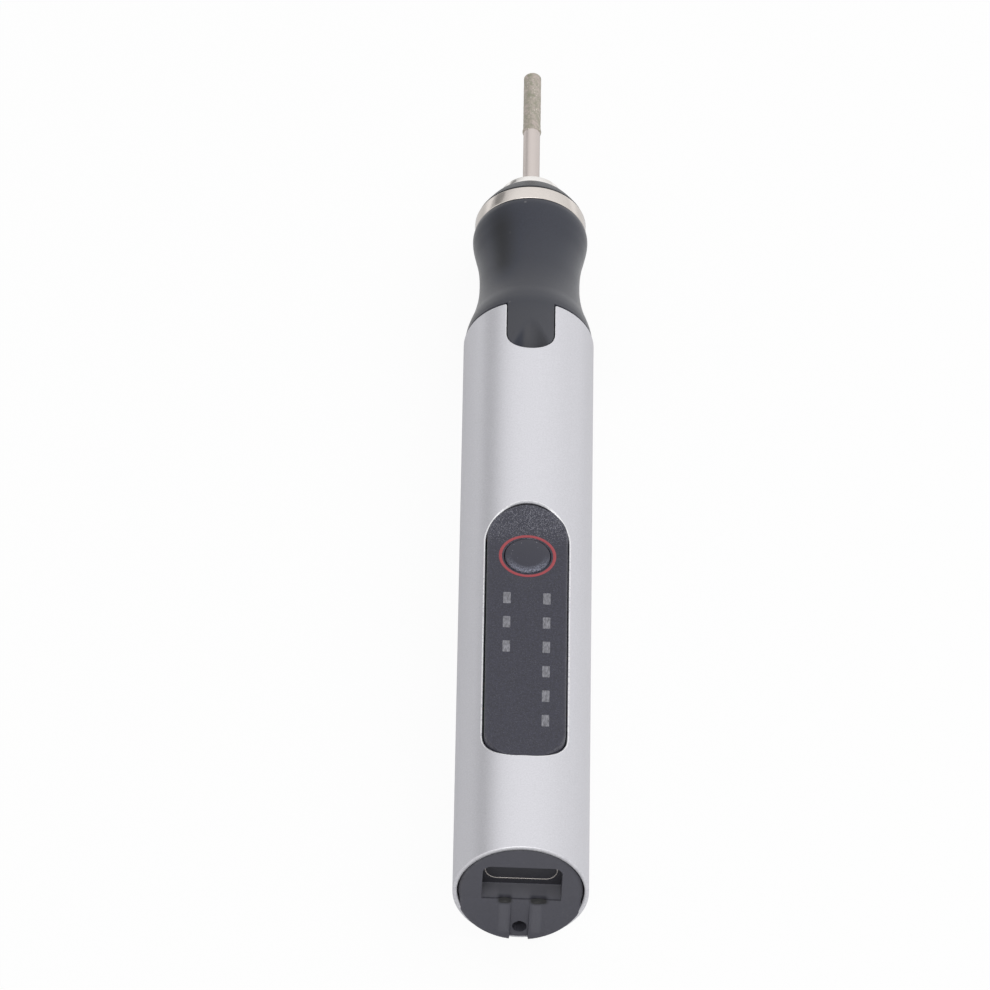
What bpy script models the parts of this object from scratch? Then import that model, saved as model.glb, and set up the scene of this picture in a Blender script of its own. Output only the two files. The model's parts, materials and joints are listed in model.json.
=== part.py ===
"""A cordless electric engraving pen with its bur, lying on its tube with the nose along +Y.

The pen's axis runs along +Y. A station is a distance along that axis from the rear end of the tube,
and a height is measured up from the axis. The origin is under the middle of the pen, at the height
of the surface that the tube lies on. All sizes are in metres.
"""
import math

import bmesh
import bpy
from mathutils import Vector

# Fits and facets
CLEARANCE = 0.0003          # between two pieces that touch or pass
OVERRUN = 0.003             # how far a cutter runs past what it cuts
WELD = 0.000001             # points closer than this are one point
LARGE_SIDES = 32
MEDIUM_SIDES = 24
SMALL_SIDES = 16
TINY_SIDES = 12
ARC_STEPS = 10
SMOOTH_ANGLE = math.radians(30.0)

# Body tube
TUBE_RADIUS = 0.0090
TUBE_WALL = 0.0007
FOOT_HALF_WIDTH = 0.0018    # of the shallow flat that the tube lies on

# Window for the control panel
WINDOW_REAR = 0.0162
WINDOW_LENGTH = 0.0457
WINDOW_HALF_WIDTH = 0.00557
WINDOW_REAR_CORNER = 0.0050

# Notch for the tongue of the grip
NOTCH_LENGTH = 0.0090
NOTCH_HALF_WIDTH = 0.00334

# Control panel and power button
PANEL_SINK = 0.0007         # of the flat panel under the tube's crown
PANEL_THICKNESS = 0.00105
PANEL_EDGE_ROUND = 0.00015
SKIRT_WALL = 0.0008
BUTTON_FROM_FRONT = 0.0090  # from the window's front end to the button's axis
BUTTON_RADIUS = 0.0031
BUTTON_CROWN = 0.00045
BUTTON_EDGE = 0.0009
BUTTON_FLANGE_RIM = 0.0008
BUTTON_FLANGE_THICKNESS = 0.00045
BUTTON_TRAVEL = 0.00025
SWITCH_LENGTH = 0.0030
SWITCH_WIDTH = 0.0040
PLUNGER_RADIUS = 0.0008

# Indicator lamps, one under each printed mark
LAMP_ROWS_LEFT = 3
LAMP_ROWS_RIGHT = 6
LAMP_PITCH = 0.00443
LAMP_COLUMN = 0.00268       # from the middle line to a column
LAMP_FROM_BUTTON = 0.0078
LAMP_LENGTH = 0.0016
LAMP_WIDTH = 0.0008
LAMP_HEIGHT = 0.0006

# Boards
BOARD_DEPTH = 0.0032        # from the panel's top down to the board's top
BOARD_THICKNESS = 0.0008
BOARD_OVERLAP = 0.0010      # of the board past each end of the window
BOARD_MARGIN = 0.0001

# Rear cap
PAD_PROUD = 0.0009          # of the raised pads at the foot of the cap
POCKET_HALF_WIDTH = 0.0052
POCKET_FLOOR = -0.00155     # height of the pocket's floor and of the fold above the pads
POCKET_TOP = 0.0046
POCKET_CORNER = 0.0012
POCKET_DEPTH = 0.0027
CAP_WEB = 0.0014
CAP_WALL = 0.0010
CAP_LENGTH = 0.0090
CAP_EDGE = 0.0003
GROOVE_HALF_WIDTH = 0.00123
TETHER_HOLE_RADIUS = 0.00085
TETHER_HOLE_HEIGHT = -0.00673
TETHER_HOLE_DEPTH = 0.0030

# Charging port
PORT_HALF_WIDTH = 0.0048
PORT_HALF_HEIGHT = 0.00165
PORT_HEIGHT = 0.0011
PORT_LENGTH = 0.0073
PORT_WALL = 0.0003
PORT_TONGUE_HALF_WIDTH = 0.0033
PORT_TONGUE_HALF_HEIGHT = 0.00035
PORT_TONGUE_SET_BACK = 0.0007
CHARGE_BOARD_LENGTH = 0.0095
CHARGE_BOARD_HALF_WIDTH = 0.0050

# Chassis, cell and pad
CHASSIS_WALL = 0.0008
BULKHEAD = 0.0008
PAD_THICKNESS = 0.0006
PAD_HALF_WIDTH = 0.0030
PAD_INSET = 0.0060
CELL_EDGE = 0.0006

# Motor
LEAD_ROOM = 0.0020          # between the board and the motor
LEAD_RADIUS = 0.00035
LEAD_SPREAD = 0.0022
BELL_LENGTH = 0.0030
CAN_LENGTH = 0.0205
CAN_WALL = 0.0006
SLEEVE_WALL = 0.0005
SLEEVE_INSET = 0.0025       # of the rubber sleeve from each end of the can
MAGNET_THICKNESS = 0.0010
MAGNET_SPLIT = 0.0018
MAGNET_INSET = 0.0030
ARMATURE_GAP = 0.0005
COMMUTATOR_RADIUS = 0.0022
COMMUTATOR_LENGTH = 0.0020
MOTOR_SHAFT_RADIUS = 0.0008
MOTOR_SHAFT_REACH = 0.0045  # of the shaft past the can
MOTOR_SHAFT_TAIL = 0.0010

# Grip
SPIGOT_LENGTH = 0.0117
SPIGOT_BORE = 0.0034
GRIP_LENGTH = 0.0210
GRIP_STEP = 0.00015         # of the grip's shoulder under the tube's surface
WAIST_RADIUS = 0.00696
BULGE_RADIUS = 0.00802
GRIP_FRONT_RADIUS = 0.00782
WAIST_SHARE = 0.524
BULGE_SHARE = 0.945
FLARE_SHARES = ((0.0, 1.0), (0.19, 0.79), (0.39, 0.43), (0.6, 0.18), (0.8, 0.045), (1.0, 0.0))
SWELL_SHARES = ((0.0, 0.0), (0.26, 0.06), (0.51, 0.265), (0.76, 0.71), (1.0, 1.0))
GRIP_STEPS = 8
TONGUE_STEP = 0.00025       # of the tongue under the tube's surface
TONGUE_ROOT = 0.0012        # of the tongue under the spigot's surface

# Work light
SCOOP_LENGTH = 0.0058
SCOOP_DEPTH = 0.0030
LIGHT_RADIUS = 0.00075
LIGHT_LENGTH = 0.0024
LIGHT_DOME = 0.0007
LIGHT_WEB = 0.0003          # of the spigot above the lamp's hole

# Bur
SHANK_RADIUS = 0.001175
SHANK_HELD = 0.0200         # of the shank inside the nose
SHANK_SHOWN = 0.0127
HEAD_LENGTH = 0.01145
HEAD_RADIUS = 0.00125
HEAD_ROUND = 0.0005

# Spindle, collet and bearings
COLLET_WALL = 0.00035
COLLET_LENGTH = 0.0085
COLLET_HEAD = 0.0006
COLLET_LIP = 0.0004
COLLET_SLIT = 0.00025
COLLET_SLITS = 3
SPINDLE_WALL = 0.0004
SPINDLE_TAIL_RADIUS = 0.0014
SPINDLE_TAIL = 0.0036
COUPLING_WALL = 0.0009
RACE_WALL = 0.00055
BALL_GAP = 0.00065
BEARING_WIDTH = 0.0030
BARREL_WALL = 0.0005
BARREL_LIP = 0.0006
SPACER_WALL = 0.0005

# Nose
NOSE_SPIGOT = 0.0028        # of the nose cone inside the grip
RING_WIDTH = 0.00225
RING_RADIUS = 0.00775
RING_EDGE = 0.0003
CONE_LENGTH = 0.00405
CONE_REAR_RADIUS = 0.00762
CONE_FRONT_RADIUS = 0.0052
CONE_BULGE_SHARE = 0.1
TIP_LENGTH = 0.00105
TIP_RADIUS = 0.0050
TIP_FACE_RADIUS = 0.0043
TIP_SPIGOT = 0.0024
TIP_WALL = 0.0007
TIP_WEB = 0.0005
TIP_MOUTH_RADIUS = 0.0016
CAM_WALL = 0.0009

# Heights and radii that follow
bore_radius = TUBE_RADIUS - TUBE_WALL
inner_radius = bore_radius - CLEARANCE
panel_top = TUBE_RADIUS - PANEL_SINK
panel_underside = panel_top - PANEL_THICKNESS
board_top = panel_top - BOARD_DEPTH
board_bottom = board_top - BOARD_THICKNESS
chassis_top = board_bottom - CLEARANCE
chassis_bore = inner_radius - CHASSIS_WALL
bulkhead_bore = chassis_top - CHASSIS_WALL
pad_bottom = chassis_top - PAD_THICKNESS
cell_top = pad_bottom - CLEARANCE
cell_bottom = CLEARANCE - chassis_bore
cell_radius = (cell_top - cell_bottom) / 2
cell_height = (cell_top + cell_bottom) / 2
can_radius = inner_radius - SLEEVE_WALL - CLEARANCE
can_bore = can_radius - CAN_WALL
magnet_radius = can_bore - CLEARANCE
armature_radius = magnet_radius - MAGNET_THICKNESS - ARMATURE_GAP
shank_bore = SHANK_RADIUS + CLEARANCE / 2
collet_radius = shank_bore + COLLET_WALL
spindle_bore = collet_radius + CLEARANCE
spindle_radius = spindle_bore + SPINDLE_WALL
inner_race_bore = spindle_radius + CLEARANCE
inner_race_radius = inner_race_bore + RACE_WALL
outer_race_bore = inner_race_radius + BALL_GAP
outer_race_radius = outer_race_bore + RACE_WALL
barrel_bore = outer_race_radius + CLEARANCE
barrel_radius = barrel_bore + BARREL_WALL
grip_bore = barrel_radius + CLEARANCE
cam_bore = spindle_radius + 2 * CLEARANCE
cam_radius = cam_bore + CAM_WALL
nose_spigot_bore = cam_radius + CLEARANCE
nose_spigot_radius = barrel_radius
tip_bore = spindle_radius + CLEARANCE
tip_spigot_radius = tip_bore + TIP_WALL
light_height = inner_radius - LIGHT_WEB - LIGHT_RADIUS - CLEARANCE

# Stations that follow, from the rear to the front: the tube is as long as what it holds
window_front = WINDOW_REAR + WINDOW_LENGTH
button_station = window_front - BUTTON_FROM_FRONT
board_rear = WINDOW_REAR - BOARD_OVERLAP
board_front = window_front + BOARD_OVERLAP
bell_rear = board_front + LEAD_ROOM
can_rear = bell_rear + BELL_LENGTH + CLEARANCE
can_front = can_rear + CAN_LENGTH
spigot_rear = can_front + CLEARANCE
tube_length = spigot_rear + SPIGOT_LENGTH
notch_rear = tube_length - NOTCH_LENGTH
shoulder = tube_length + CLEARANCE
grip_front = shoulder + GRIP_LENGTH
scoop_rear = notch_rear + CLEARANCE / 2
shaft_front = can_front + MOTOR_SHAFT_REACH
tail_rear = shaft_front + CLEARANCE
spindle_rear = tail_rear + SPINDLE_TAIL
barrel_rear = spindle_rear + CLEARANCE
rear_bearing = barrel_rear + BARREL_LIP + CLEARANCE
nose_spigot_rear = grip_front - NOSE_SPIGOT
barrel_front = nose_spigot_rear - CLEARANCE
front_bearing = barrel_front - BEARING_WIDTH
ring_rear = grip_front + CLEARANCE
ring_front = ring_rear + RING_WIDTH
cone_rear = ring_front + CLEARANCE
cone_front = cone_rear + CONE_LENGTH
tip_rear = cone_front + CLEARANCE
tip_front = tip_rear + TIP_LENGTH
shank_rear = tip_front - SHANK_HELD
head_rear = tip_front + SHANK_SHOWN
bur_front = head_rear + HEAD_LENGTH
collet_front = tip_front - TIP_WEB - CLEARANCE
collet_rear = collet_front - COLLET_LENGTH
spindle_front = collet_front - COLLET_HEAD - CLEARANCE
port_face = POCKET_DEPTH
web_front = POCKET_DEPTH + CAP_WEB
charge_board_rear = web_front + CLEARANCE
charge_board_front = charge_board_rear + CHARGE_BOARD_LENGTH
charge_board_top = PORT_HEIGHT - PORT_HALF_HEIGHT - CLEARANCE
rear_bulkhead = charge_board_front + CLEARANCE
cell_rear = rear_bulkhead + BULKHEAD + CLEARANCE
chassis_front = board_front
cell_front = chassis_front - BULKHEAD - CLEARANCE

# The origin is under the middle of the pen's length, on the plane of the tube's flat
axis_height = math.sqrt(TUBE_RADIUS ** 2 - FOOT_HALF_WIDTH ** 2)
middle = (bur_front - PAD_PROUD) / 2

# Finish name: colour, roughness, metallic
FINISHES = {
    "satin_aluminium": ((0.62, 0.62, 0.66), 0.38, 1.0),
    "soft_black": ((0.045, 0.047, 0.055), 0.62, 0.0),
    "panel_black": ((0.05, 0.052, 0.06), 0.5, 0.0),
    "nickel": ((0.72, 0.68, 0.64), 0.18, 1.0),
    "steel": ((0.55, 0.52, 0.5), 0.3, 1.0),
    "brass": ((0.75, 0.58, 0.3), 0.3, 1.0),
    "board_green": ((0.03, 0.16, 0.08), 0.5, 0.0),
    "lamp_white": ((0.85, 0.85, 0.8), 0.3, 0.0),
    "clear_lens": ((0.9, 0.92, 0.95), 0.08, 0.0),
    "cell_wrap": ((0.08, 0.22, 0.5), 0.35, 0.0),
    "foam": ((0.1, 0.1, 0.1), 0.95, 0.0),
    "frame_plastic": ((0.12, 0.12, 0.13), 0.55, 0.0),
    "magnet_black": ((0.07, 0.07, 0.075), 0.6, 0.0),
    "red_lead": ((0.6, 0.03, 0.03), 0.45, 0.0),
    "black_lead": ((0.02, 0.02, 0.02), 0.45, 0.0),
}


def clear_scene():
    """Remove every object that the file starts with."""
    for item in list(bpy.data.objects):
        bpy.data.objects.remove(item, do_unlink=True)


def add_frame(name, place, parent=None):
    """An empty that carries other objects."""
    frame = bpy.data.objects.new(name, None)
    frame.location = place
    frame.parent = parent
    bpy.context.scene.collection.objects.link(frame)
    return frame


def material_for(name, finish):
    """A material of its own for one object, in one of the named finishes."""
    colour, roughness, metallic = FINISHES[finish]
    material = bpy.data.materials.new(name + "_finish")
    material.use_nodes = True
    shader = material.node_tree.nodes["Principled BSDF"]
    shader.inputs["Base Color"].default_value = (*colour, 1.0)
    shader.inputs["Roughness"].default_value = roughness
    shader.inputs["Metallic"].default_value = metallic
    return material


def add_object(name, form, finish, parent):
    """Turn a bmesh into an object. One without a finish is a cutter, which is only a guide."""
    bmesh.ops.remove_doubles(form, verts=form.verts, dist=WELD)
    bmesh.ops.recalc_face_normals(form, faces=form.faces)
    mesh = bpy.data.meshes.new(name)
    form.to_mesh(mesh)
    form.free()
    mesh.shade_smooth()
    mesh.set_sharp_from_angle(angle=SMOOTH_ANGLE)
    item = bpy.data.objects.new(name, mesh)
    item.parent = parent
    bpy.context.scene.collection.objects.link(item)
    if finish is None:
        item.hide_render = True
        item.display_type = "WIRE"
    else:
        mesh.materials.append(material_for(name, finish))
    return item


def turned(name, profile, finish, parent, sides=MEDIUM_SIDES, height=0.0, upright=False):
    """Turn an outline of (station, radius) points about the axis at a height, or about a vertical."""
    form = bmesh.new()
    half_step = math.pi / sides
    corners = []
    for along, radius in profile:
        across = radius * math.sin(half_step)
        out = radius * math.cos(half_step)
        corners.append(form.verts.new((across, out, along) if upright else (across, along, out + height)))
    edges = [form.edges.new(pair) for pair in zip(corners, corners[1:])]
    if profile[0][1] > 0 and profile[-1][1] > 0:
        edges.append(form.edges.new((corners[-1], corners[0])))
    axis = Vector((0, 0, 1)) if upright else Vector((0, 1, 0))
    bmesh.ops.spin(form, geom=corners + edges, cent=(0, 0, 0 if upright else height), axis=axis,
                   angle=2 * math.pi, steps=sides, use_merge=True)
    return add_object(name, form, finish, parent)


def sleeve(name, rear, front, bore, radius, finish, parent, sides=MEDIUM_SIDES):
    """A plain turned ring or tube."""
    outline = [(rear, bore), (rear, radius), (front, radius), (front, bore)]
    return turned(name, outline, finish, parent, sides)


def prism(name, outline, low, high, finish, parent, along="Z"):
    """Push a flat outline along X, Y or Z. Its points are the other two coordinates, in order."""
    def place(first, second, third):
        if along == "X":
            return (third, first, second)
        if along == "Y":
            return (first, third, second)
        return (first, second, third)

    form = bmesh.new()
    face = form.faces.new([form.verts.new(place(first, second, low)) for first, second in outline])
    pushed = bmesh.ops.extrude_face_region(form, geom=[face])["geom"]
    far_side = [item for item in pushed if isinstance(item, bmesh.types.BMVert)]
    bmesh.ops.translate(form, verts=far_side, vec=place(0, 0, high - low))
    return add_object(name, form, finish, parent)


def block(name, left, right, rear, front, low, high, finish, parent):
    """A box given by its faces."""
    outline = [(left, rear), (right, rear), (right, front), (left, front)]
    return prism(name, outline, low, high, finish, parent)


def combine(part, other, operation="DIFFERENCE"):
    """Cut, join or intersect a part with another solid."""
    step = part.modifiers.new(other.name, "BOOLEAN")
    step.operation = operation
    step.solver = "EXACT"
    step.object = other


def arc(across, along, radius, start, end, steps=ARC_STEPS):
    """Points of an arc about a centre, from one angle in degrees to another."""
    points = []
    for index in range(steps + 1):
        angle = math.radians(start + (end - start) * index / steps)
        points.append((across + radius * math.cos(angle), along + radius * math.sin(angle)))
    return points


def without_repeats(points):
    """The same closed outline with no point given twice in a row."""
    kept = []
    for point in points:
        if not kept or math.dist(point, kept[-1]) > WELD:
            kept.append(point)
    if math.dist(kept[0], kept[-1]) <= WELD:
        kept.pop()
    return kept


def rounded_outline(half_width, low, high, low_corner, high_corner):
    """A rectangle whose two low and two high corners are arcs. A radius of half the width gives a round end."""
    points = arc(half_width - high_corner, high - high_corner, high_corner, 0, 90)
    points += arc(high_corner - half_width, high - high_corner, high_corner, 90, 180)
    points += arc(low_corner - half_width, low + low_corner, low_corner, 180, 270)
    points += arc(half_width - low_corner, low + low_corner, low_corner, 270, 360)
    return without_repeats(points)


def window_outline(inset):
    """The window, or what fits in it, drawn in from its edge."""
    half_width = WINDOW_HALF_WIDTH - inset
    corner = min(WINDOW_REAR_CORNER - inset, half_width)
    return rounded_outline(half_width, WINDOW_REAR + inset, window_front - inset, corner, half_width)


def notch_outline(inset, front):
    """The notch, or the tongue that fits in it, up to a station in front."""
    half_width = NOTCH_HALF_WIDTH - inset
    rear = notch_rear + inset
    points = [(half_width, front), (-half_width, front)]
    points += arc(0, rear + half_width, half_width, 180, 360, 2 * ARC_STEPS)
    return without_repeats(points)


def smooth(table, share):
    """A smooth curve through a table of (place, value) pairs, with slopes from each pair of neighbours."""
    last = len(table) - 1
    index = 0
    while index < last - 1 and share > table[index + 1][0]:
        index += 1

    def slope(at):
        before, after = table[max(at - 1, 0)], table[min(at + 1, last)]
        return (after[1] - before[1]) / (after[0] - before[0])

    (start, first), (end, second) = table[index], table[index + 1]
    span = end - start
    part = (share - start) / span
    turn = part * part * (3 - 2 * part)
    lead_in = part * (1 - part) ** 2 * slope(index) * span
    lead_out = part * part * (part - 1) * slope(index + 1) * span
    return first + (second - first) * turn + lead_in + lead_out


def grip_profile():
    """The grip's outside from the shoulder over the waist and the bulge to the front edge."""
    shoulder_radius = TUBE_RADIUS - GRIP_STEP
    waist = shoulder + GRIP_LENGTH * WAIST_SHARE
    bulge = shoulder + GRIP_LENGTH * BULGE_SHARE
    points = []
    for index in range(GRIP_STEPS + 1):
        share = index / GRIP_STEPS
        drop = (shoulder_radius - WAIST_RADIUS) * smooth(FLARE_SHARES, share)
        points.append((shoulder + (waist - shoulder) * share, WAIST_RADIUS + drop))
    for index in range(1, GRIP_STEPS + 1):
        share = index / GRIP_STEPS
        rise = (BULGE_RADIUS - WAIST_RADIUS) * smooth(SWELL_SHARES, share)
        points.append((waist + (bulge - waist) * share, WAIST_RADIUS + rise))
    points.append((grip_front, GRIP_FRONT_RADIUS))
    return points


def cone_profile():
    """The nose cone's outside: a straight taper with a slight bulge between its ends."""
    points = []
    for index in range(ARC_STEPS + 1):
        share = index / ARC_STEPS
        taper = CONE_REAR_RADIUS + (CONE_FRONT_RADIUS - CONE_REAR_RADIUS) * share
        bulge = (CONE_REAR_RADIUS - CONE_FRONT_RADIUS) * CONE_BULGE_SHARE * math.sin(math.pi * share)
        points.append((cone_rear + CONE_LENGTH * share, taper + bulge))
    return points


def build_tube(pen):
    """Body tube, with the panel's window, the notch for the grip's tongue and the flat it lies on."""
    tube = sleeve("body_tube", 0, tube_length, bore_radius, TUBE_RADIUS, "satin_aluminium", pen, LARGE_SIDES)
    above = TUBE_RADIUS + OVERRUN
    window = prism("window_cutter", window_outline(0), board_bottom, above, None, pen)
    notch_front = tube_length + OVERRUN
    notch = prism("notch_cutter", notch_outline(0, notch_front), board_bottom, above, None, pen)
    foot = block("foot_cutter", -TUBE_RADIUS, TUBE_RADIUS, -OVERRUN, notch_front, -above, -axis_height,
                 None, pen)
    combine(tube, window)
    combine(tube, notch)
    combine(tube, foot)


def build_rear_cap(pen):
    """End cap with the port's pocket, two raised pads, the groove between them and the tether's hole."""
    cavity = inner_radius - CAP_WALL
    cap = turned("rear_cap", [
        (-PAD_PROUD, 0), (-PAD_PROUD, inner_radius - CAP_EDGE), (CAP_EDGE - PAD_PROUD, inner_radius),
        (CAP_LENGTH, inner_radius), (CAP_LENGTH, cavity), (web_front, cavity), (web_front, 0),
    ], "soft_black", pen, LARGE_SIDES)
    reach = inner_radius + OVERRUN
    behind = -PAD_PROUD - OVERRUN
    slope_end = -PAD_PROUD * (reach + POCKET_FLOOR) / (inner_radius + POCKET_FLOOR)
    face = [(behind, reach), (0, reach), (0, POCKET_FLOOR), (slope_end, -reach), (behind, -reach)]
    combine(cap, prism("cap_face_cutter", face, -reach, reach, None, pen, along="X"))
    combine(cap, block("groove_cutter", -GROOVE_HALF_WIDTH, GROOVE_HALF_WIDTH, behind, 0,
                       -reach, POCKET_FLOOR, None, pen))
    pocket = rounded_outline(POCKET_HALF_WIDTH, POCKET_FLOOR, POCKET_TOP, 0, POCKET_CORNER)
    combine(cap, prism("pocket_cutter", pocket, behind, POCKET_DEPTH, None, pen, along="Y"))
    combine(cap, prism("port_hole_cutter", port_outline(-CLEARANCE / 2), port_face - CLEARANCE,
                       web_front + OVERRUN, None, pen, along="Y"))
    hole = [(behind, 0), (behind, TETHER_HOLE_RADIUS), (TETHER_HOLE_DEPTH, TETHER_HOLE_RADIUS),
            (TETHER_HOLE_DEPTH, 0)]
    combine(cap, turned("tether_hole_cutter", hole, None, pen, SMALL_SIDES, TETHER_HOLE_HEIGHT))


def port_outline(inset):
    """The charging port's shell, a flat shape with round ends, drawn in from its outside."""
    half_height = PORT_HALF_HEIGHT - inset
    return rounded_outline(PORT_HALF_WIDTH - inset, PORT_HEIGHT - half_height, PORT_HEIGHT + half_height,
                           half_height, half_height)


def build_port(pen):
    """Charging port's shell and tongue, and the board that they are soldered to."""
    port_rear = port_face + PORT_LENGTH
    shell = prism("port_shell", port_outline(0), port_face, port_rear, "nickel", pen, along="Y")
    combine(shell, prism("port_mouth_cutter", port_outline(PORT_WALL), port_face - OVERRUN,
                         port_rear - PORT_WALL, None, pen, along="Y"))
    block("port_tongue", -PORT_TONGUE_HALF_WIDTH, PORT_TONGUE_HALF_WIDTH, port_face + PORT_TONGUE_SET_BACK,
          port_rear - PORT_WALL - CLEARANCE, PORT_HEIGHT - PORT_TONGUE_HALF_HEIGHT,
          PORT_HEIGHT + PORT_TONGUE_HALF_HEIGHT, "frame_plastic", pen)
    block("charge_board", -CHARGE_BOARD_HALF_WIDTH, CHARGE_BOARD_HALF_WIDTH, charge_board_rear,
          charge_board_front, charge_board_top - BOARD_THICKNESS, charge_board_top, "board_green", pen)


def build_chassis(pen):
    """Trough that carries the cell between two bulkheads, and the main board on its rims."""
    chassis_rear = CAP_LENGTH + CLEARANCE
    trough = turned("chassis", [
        (chassis_rear, inner_radius), (chassis_front, inner_radius), (chassis_front, bulkhead_bore),
        (chassis_front - BULKHEAD, bulkhead_bore), (chassis_front - BULKHEAD, chassis_bore),
        (rear_bulkhead + BULKHEAD, chassis_bore), (rear_bulkhead + BULKHEAD, bulkhead_bore),
        (rear_bulkhead, bulkhead_bore), (rear_bulkhead, chassis_bore), (chassis_rear, chassis_bore),
    ], "frame_plastic", pen, LARGE_SIDES)
    reach = inner_radius + OVERRUN
    combine(trough, block("chassis_top_cutter", -reach, reach, chassis_rear - OVERRUN,
                          chassis_front + OVERRUN, chassis_top, reach, None, pen))


def build_cell(pen):
    """Round cell in its wrap, and the foam pad that keeps it down."""
    turned("battery_cell", [
        (cell_rear, 0), (cell_rear, cell_radius - CELL_EDGE), (cell_rear + CELL_EDGE, cell_radius),
        (cell_front - CELL_EDGE, cell_radius), (cell_front, cell_radius - CELL_EDGE), (cell_front, 0),
    ], "cell_wrap", pen, MEDIUM_SIDES, cell_height)
    block("battery_pad", -PAD_HALF_WIDTH, PAD_HALF_WIDTH, cell_rear + PAD_INSET, cell_front - PAD_INSET,
          pad_bottom, chassis_top, "foam", pen)


def build_board(pen):
    """Main board, the tact switch on it and the indicator lamps under the printed marks."""
    half_width = math.sqrt(inner_radius ** 2 - board_top ** 2) - BOARD_MARGIN
    block("main_board", -half_width, half_width, board_rear, board_front, board_bottom, board_top,
          "board_green", pen)
    seat = board_top + CLEARANCE
    for side, rows in ((-1, LAMP_ROWS_LEFT), (1, LAMP_ROWS_RIGHT)):
        for row in range(rows):
            station = button_station - LAMP_FROM_BUTTON - row * LAMP_PITCH
            across = side * LAMP_COLUMN
            name = "indicator_lamp_%s_%d" % ("left" if side < 0 else "right", row + 1)
            block(name, across - LAMP_WIDTH / 2, across + LAMP_WIDTH / 2, station - LAMP_LENGTH / 2,
                  station + LAMP_LENGTH / 2, seat, seat + LAMP_HEIGHT, "lamp_white", pen)


def build_panel(pen):
    """Flat panel with a skirt that stands on the board, and a hole for the button."""
    panel = prism("control_panel", window_outline(CLEARANCE), board_top + CLEARANCE, panel_top,
                  "panel_black", pen)
    combine(panel, prism("panel_hollow_cutter", window_outline(CLEARANCE + SKIRT_WALL),
                         board_top - OVERRUN, panel_underside, None, pen))
    hole_radius = BUTTON_RADIUS + CLEARANCE
    over = panel_top + OVERRUN
    hole = turned("button_hole_cutter", [
        (panel_underside - OVERRUN, 0), (panel_underside - OVERRUN, hole_radius), (over, hole_radius),
        (over, 0)], None, add_frame("button_hole_axis", (0, button_station, 0), pen), MEDIUM_SIDES,
        upright=True)
    combine(panel, hole)


def build_button(pen):
    """Power button with its flange under the panel, the switch's plunger and the switch itself."""
    axis = add_frame("button_axis", (0, button_station, 0), pen)
    flange_top = panel_underside - CLEARANCE
    flange_bottom = flange_top - BUTTON_FLANGE_THICKNESS
    flange_radius = BUTTON_RADIUS + BUTTON_FLANGE_RIM
    crown = panel_top + BUTTON_CROWN
    turned("power_button", [
        (flange_bottom, 0), (flange_bottom, flange_radius), (flange_top, flange_radius),
        (flange_top, BUTTON_RADIUS), (panel_top, BUTTON_RADIUS),
        (panel_top + BUTTON_CROWN * math.sin(math.radians(50.0)), BUTTON_RADIUS - BUTTON_EDGE / 3),
        (crown, BUTTON_RADIUS - BUTTON_EDGE), (crown, 0),
    ], "panel_black", axis, MEDIUM_SIDES, upright=True)
    seat = board_top + CLEARANCE
    turned("switch_plunger", [
        (seat + BUTTON_TRAVEL, 0), (seat + BUTTON_TRAVEL, PLUNGER_RADIUS),
        (flange_bottom - CLEARANCE, PLUNGER_RADIUS), (flange_bottom - CLEARANCE, 0),
    ], "frame_plastic", axis, TINY_SIDES, upright=True)
    switch_top = flange_bottom - BUTTON_TRAVEL - CLEARANCE
    switch = block("tact_switch", -SWITCH_WIDTH / 2, SWITCH_WIDTH / 2, button_station - SWITCH_LENGTH / 2,
                   button_station + SWITCH_LENGTH / 2, seat, switch_top, "steel", pen)
    well_radius = PLUNGER_RADIUS + CLEARANCE
    combine(switch, turned("plunger_well_cutter", [
        (seat - OVERRUN, 0), (seat - OVERRUN, well_radius), (switch_top + OVERRUN, well_radius),
        (switch_top + OVERRUN, 0)], None, axis, TINY_SIDES, upright=True))


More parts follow.
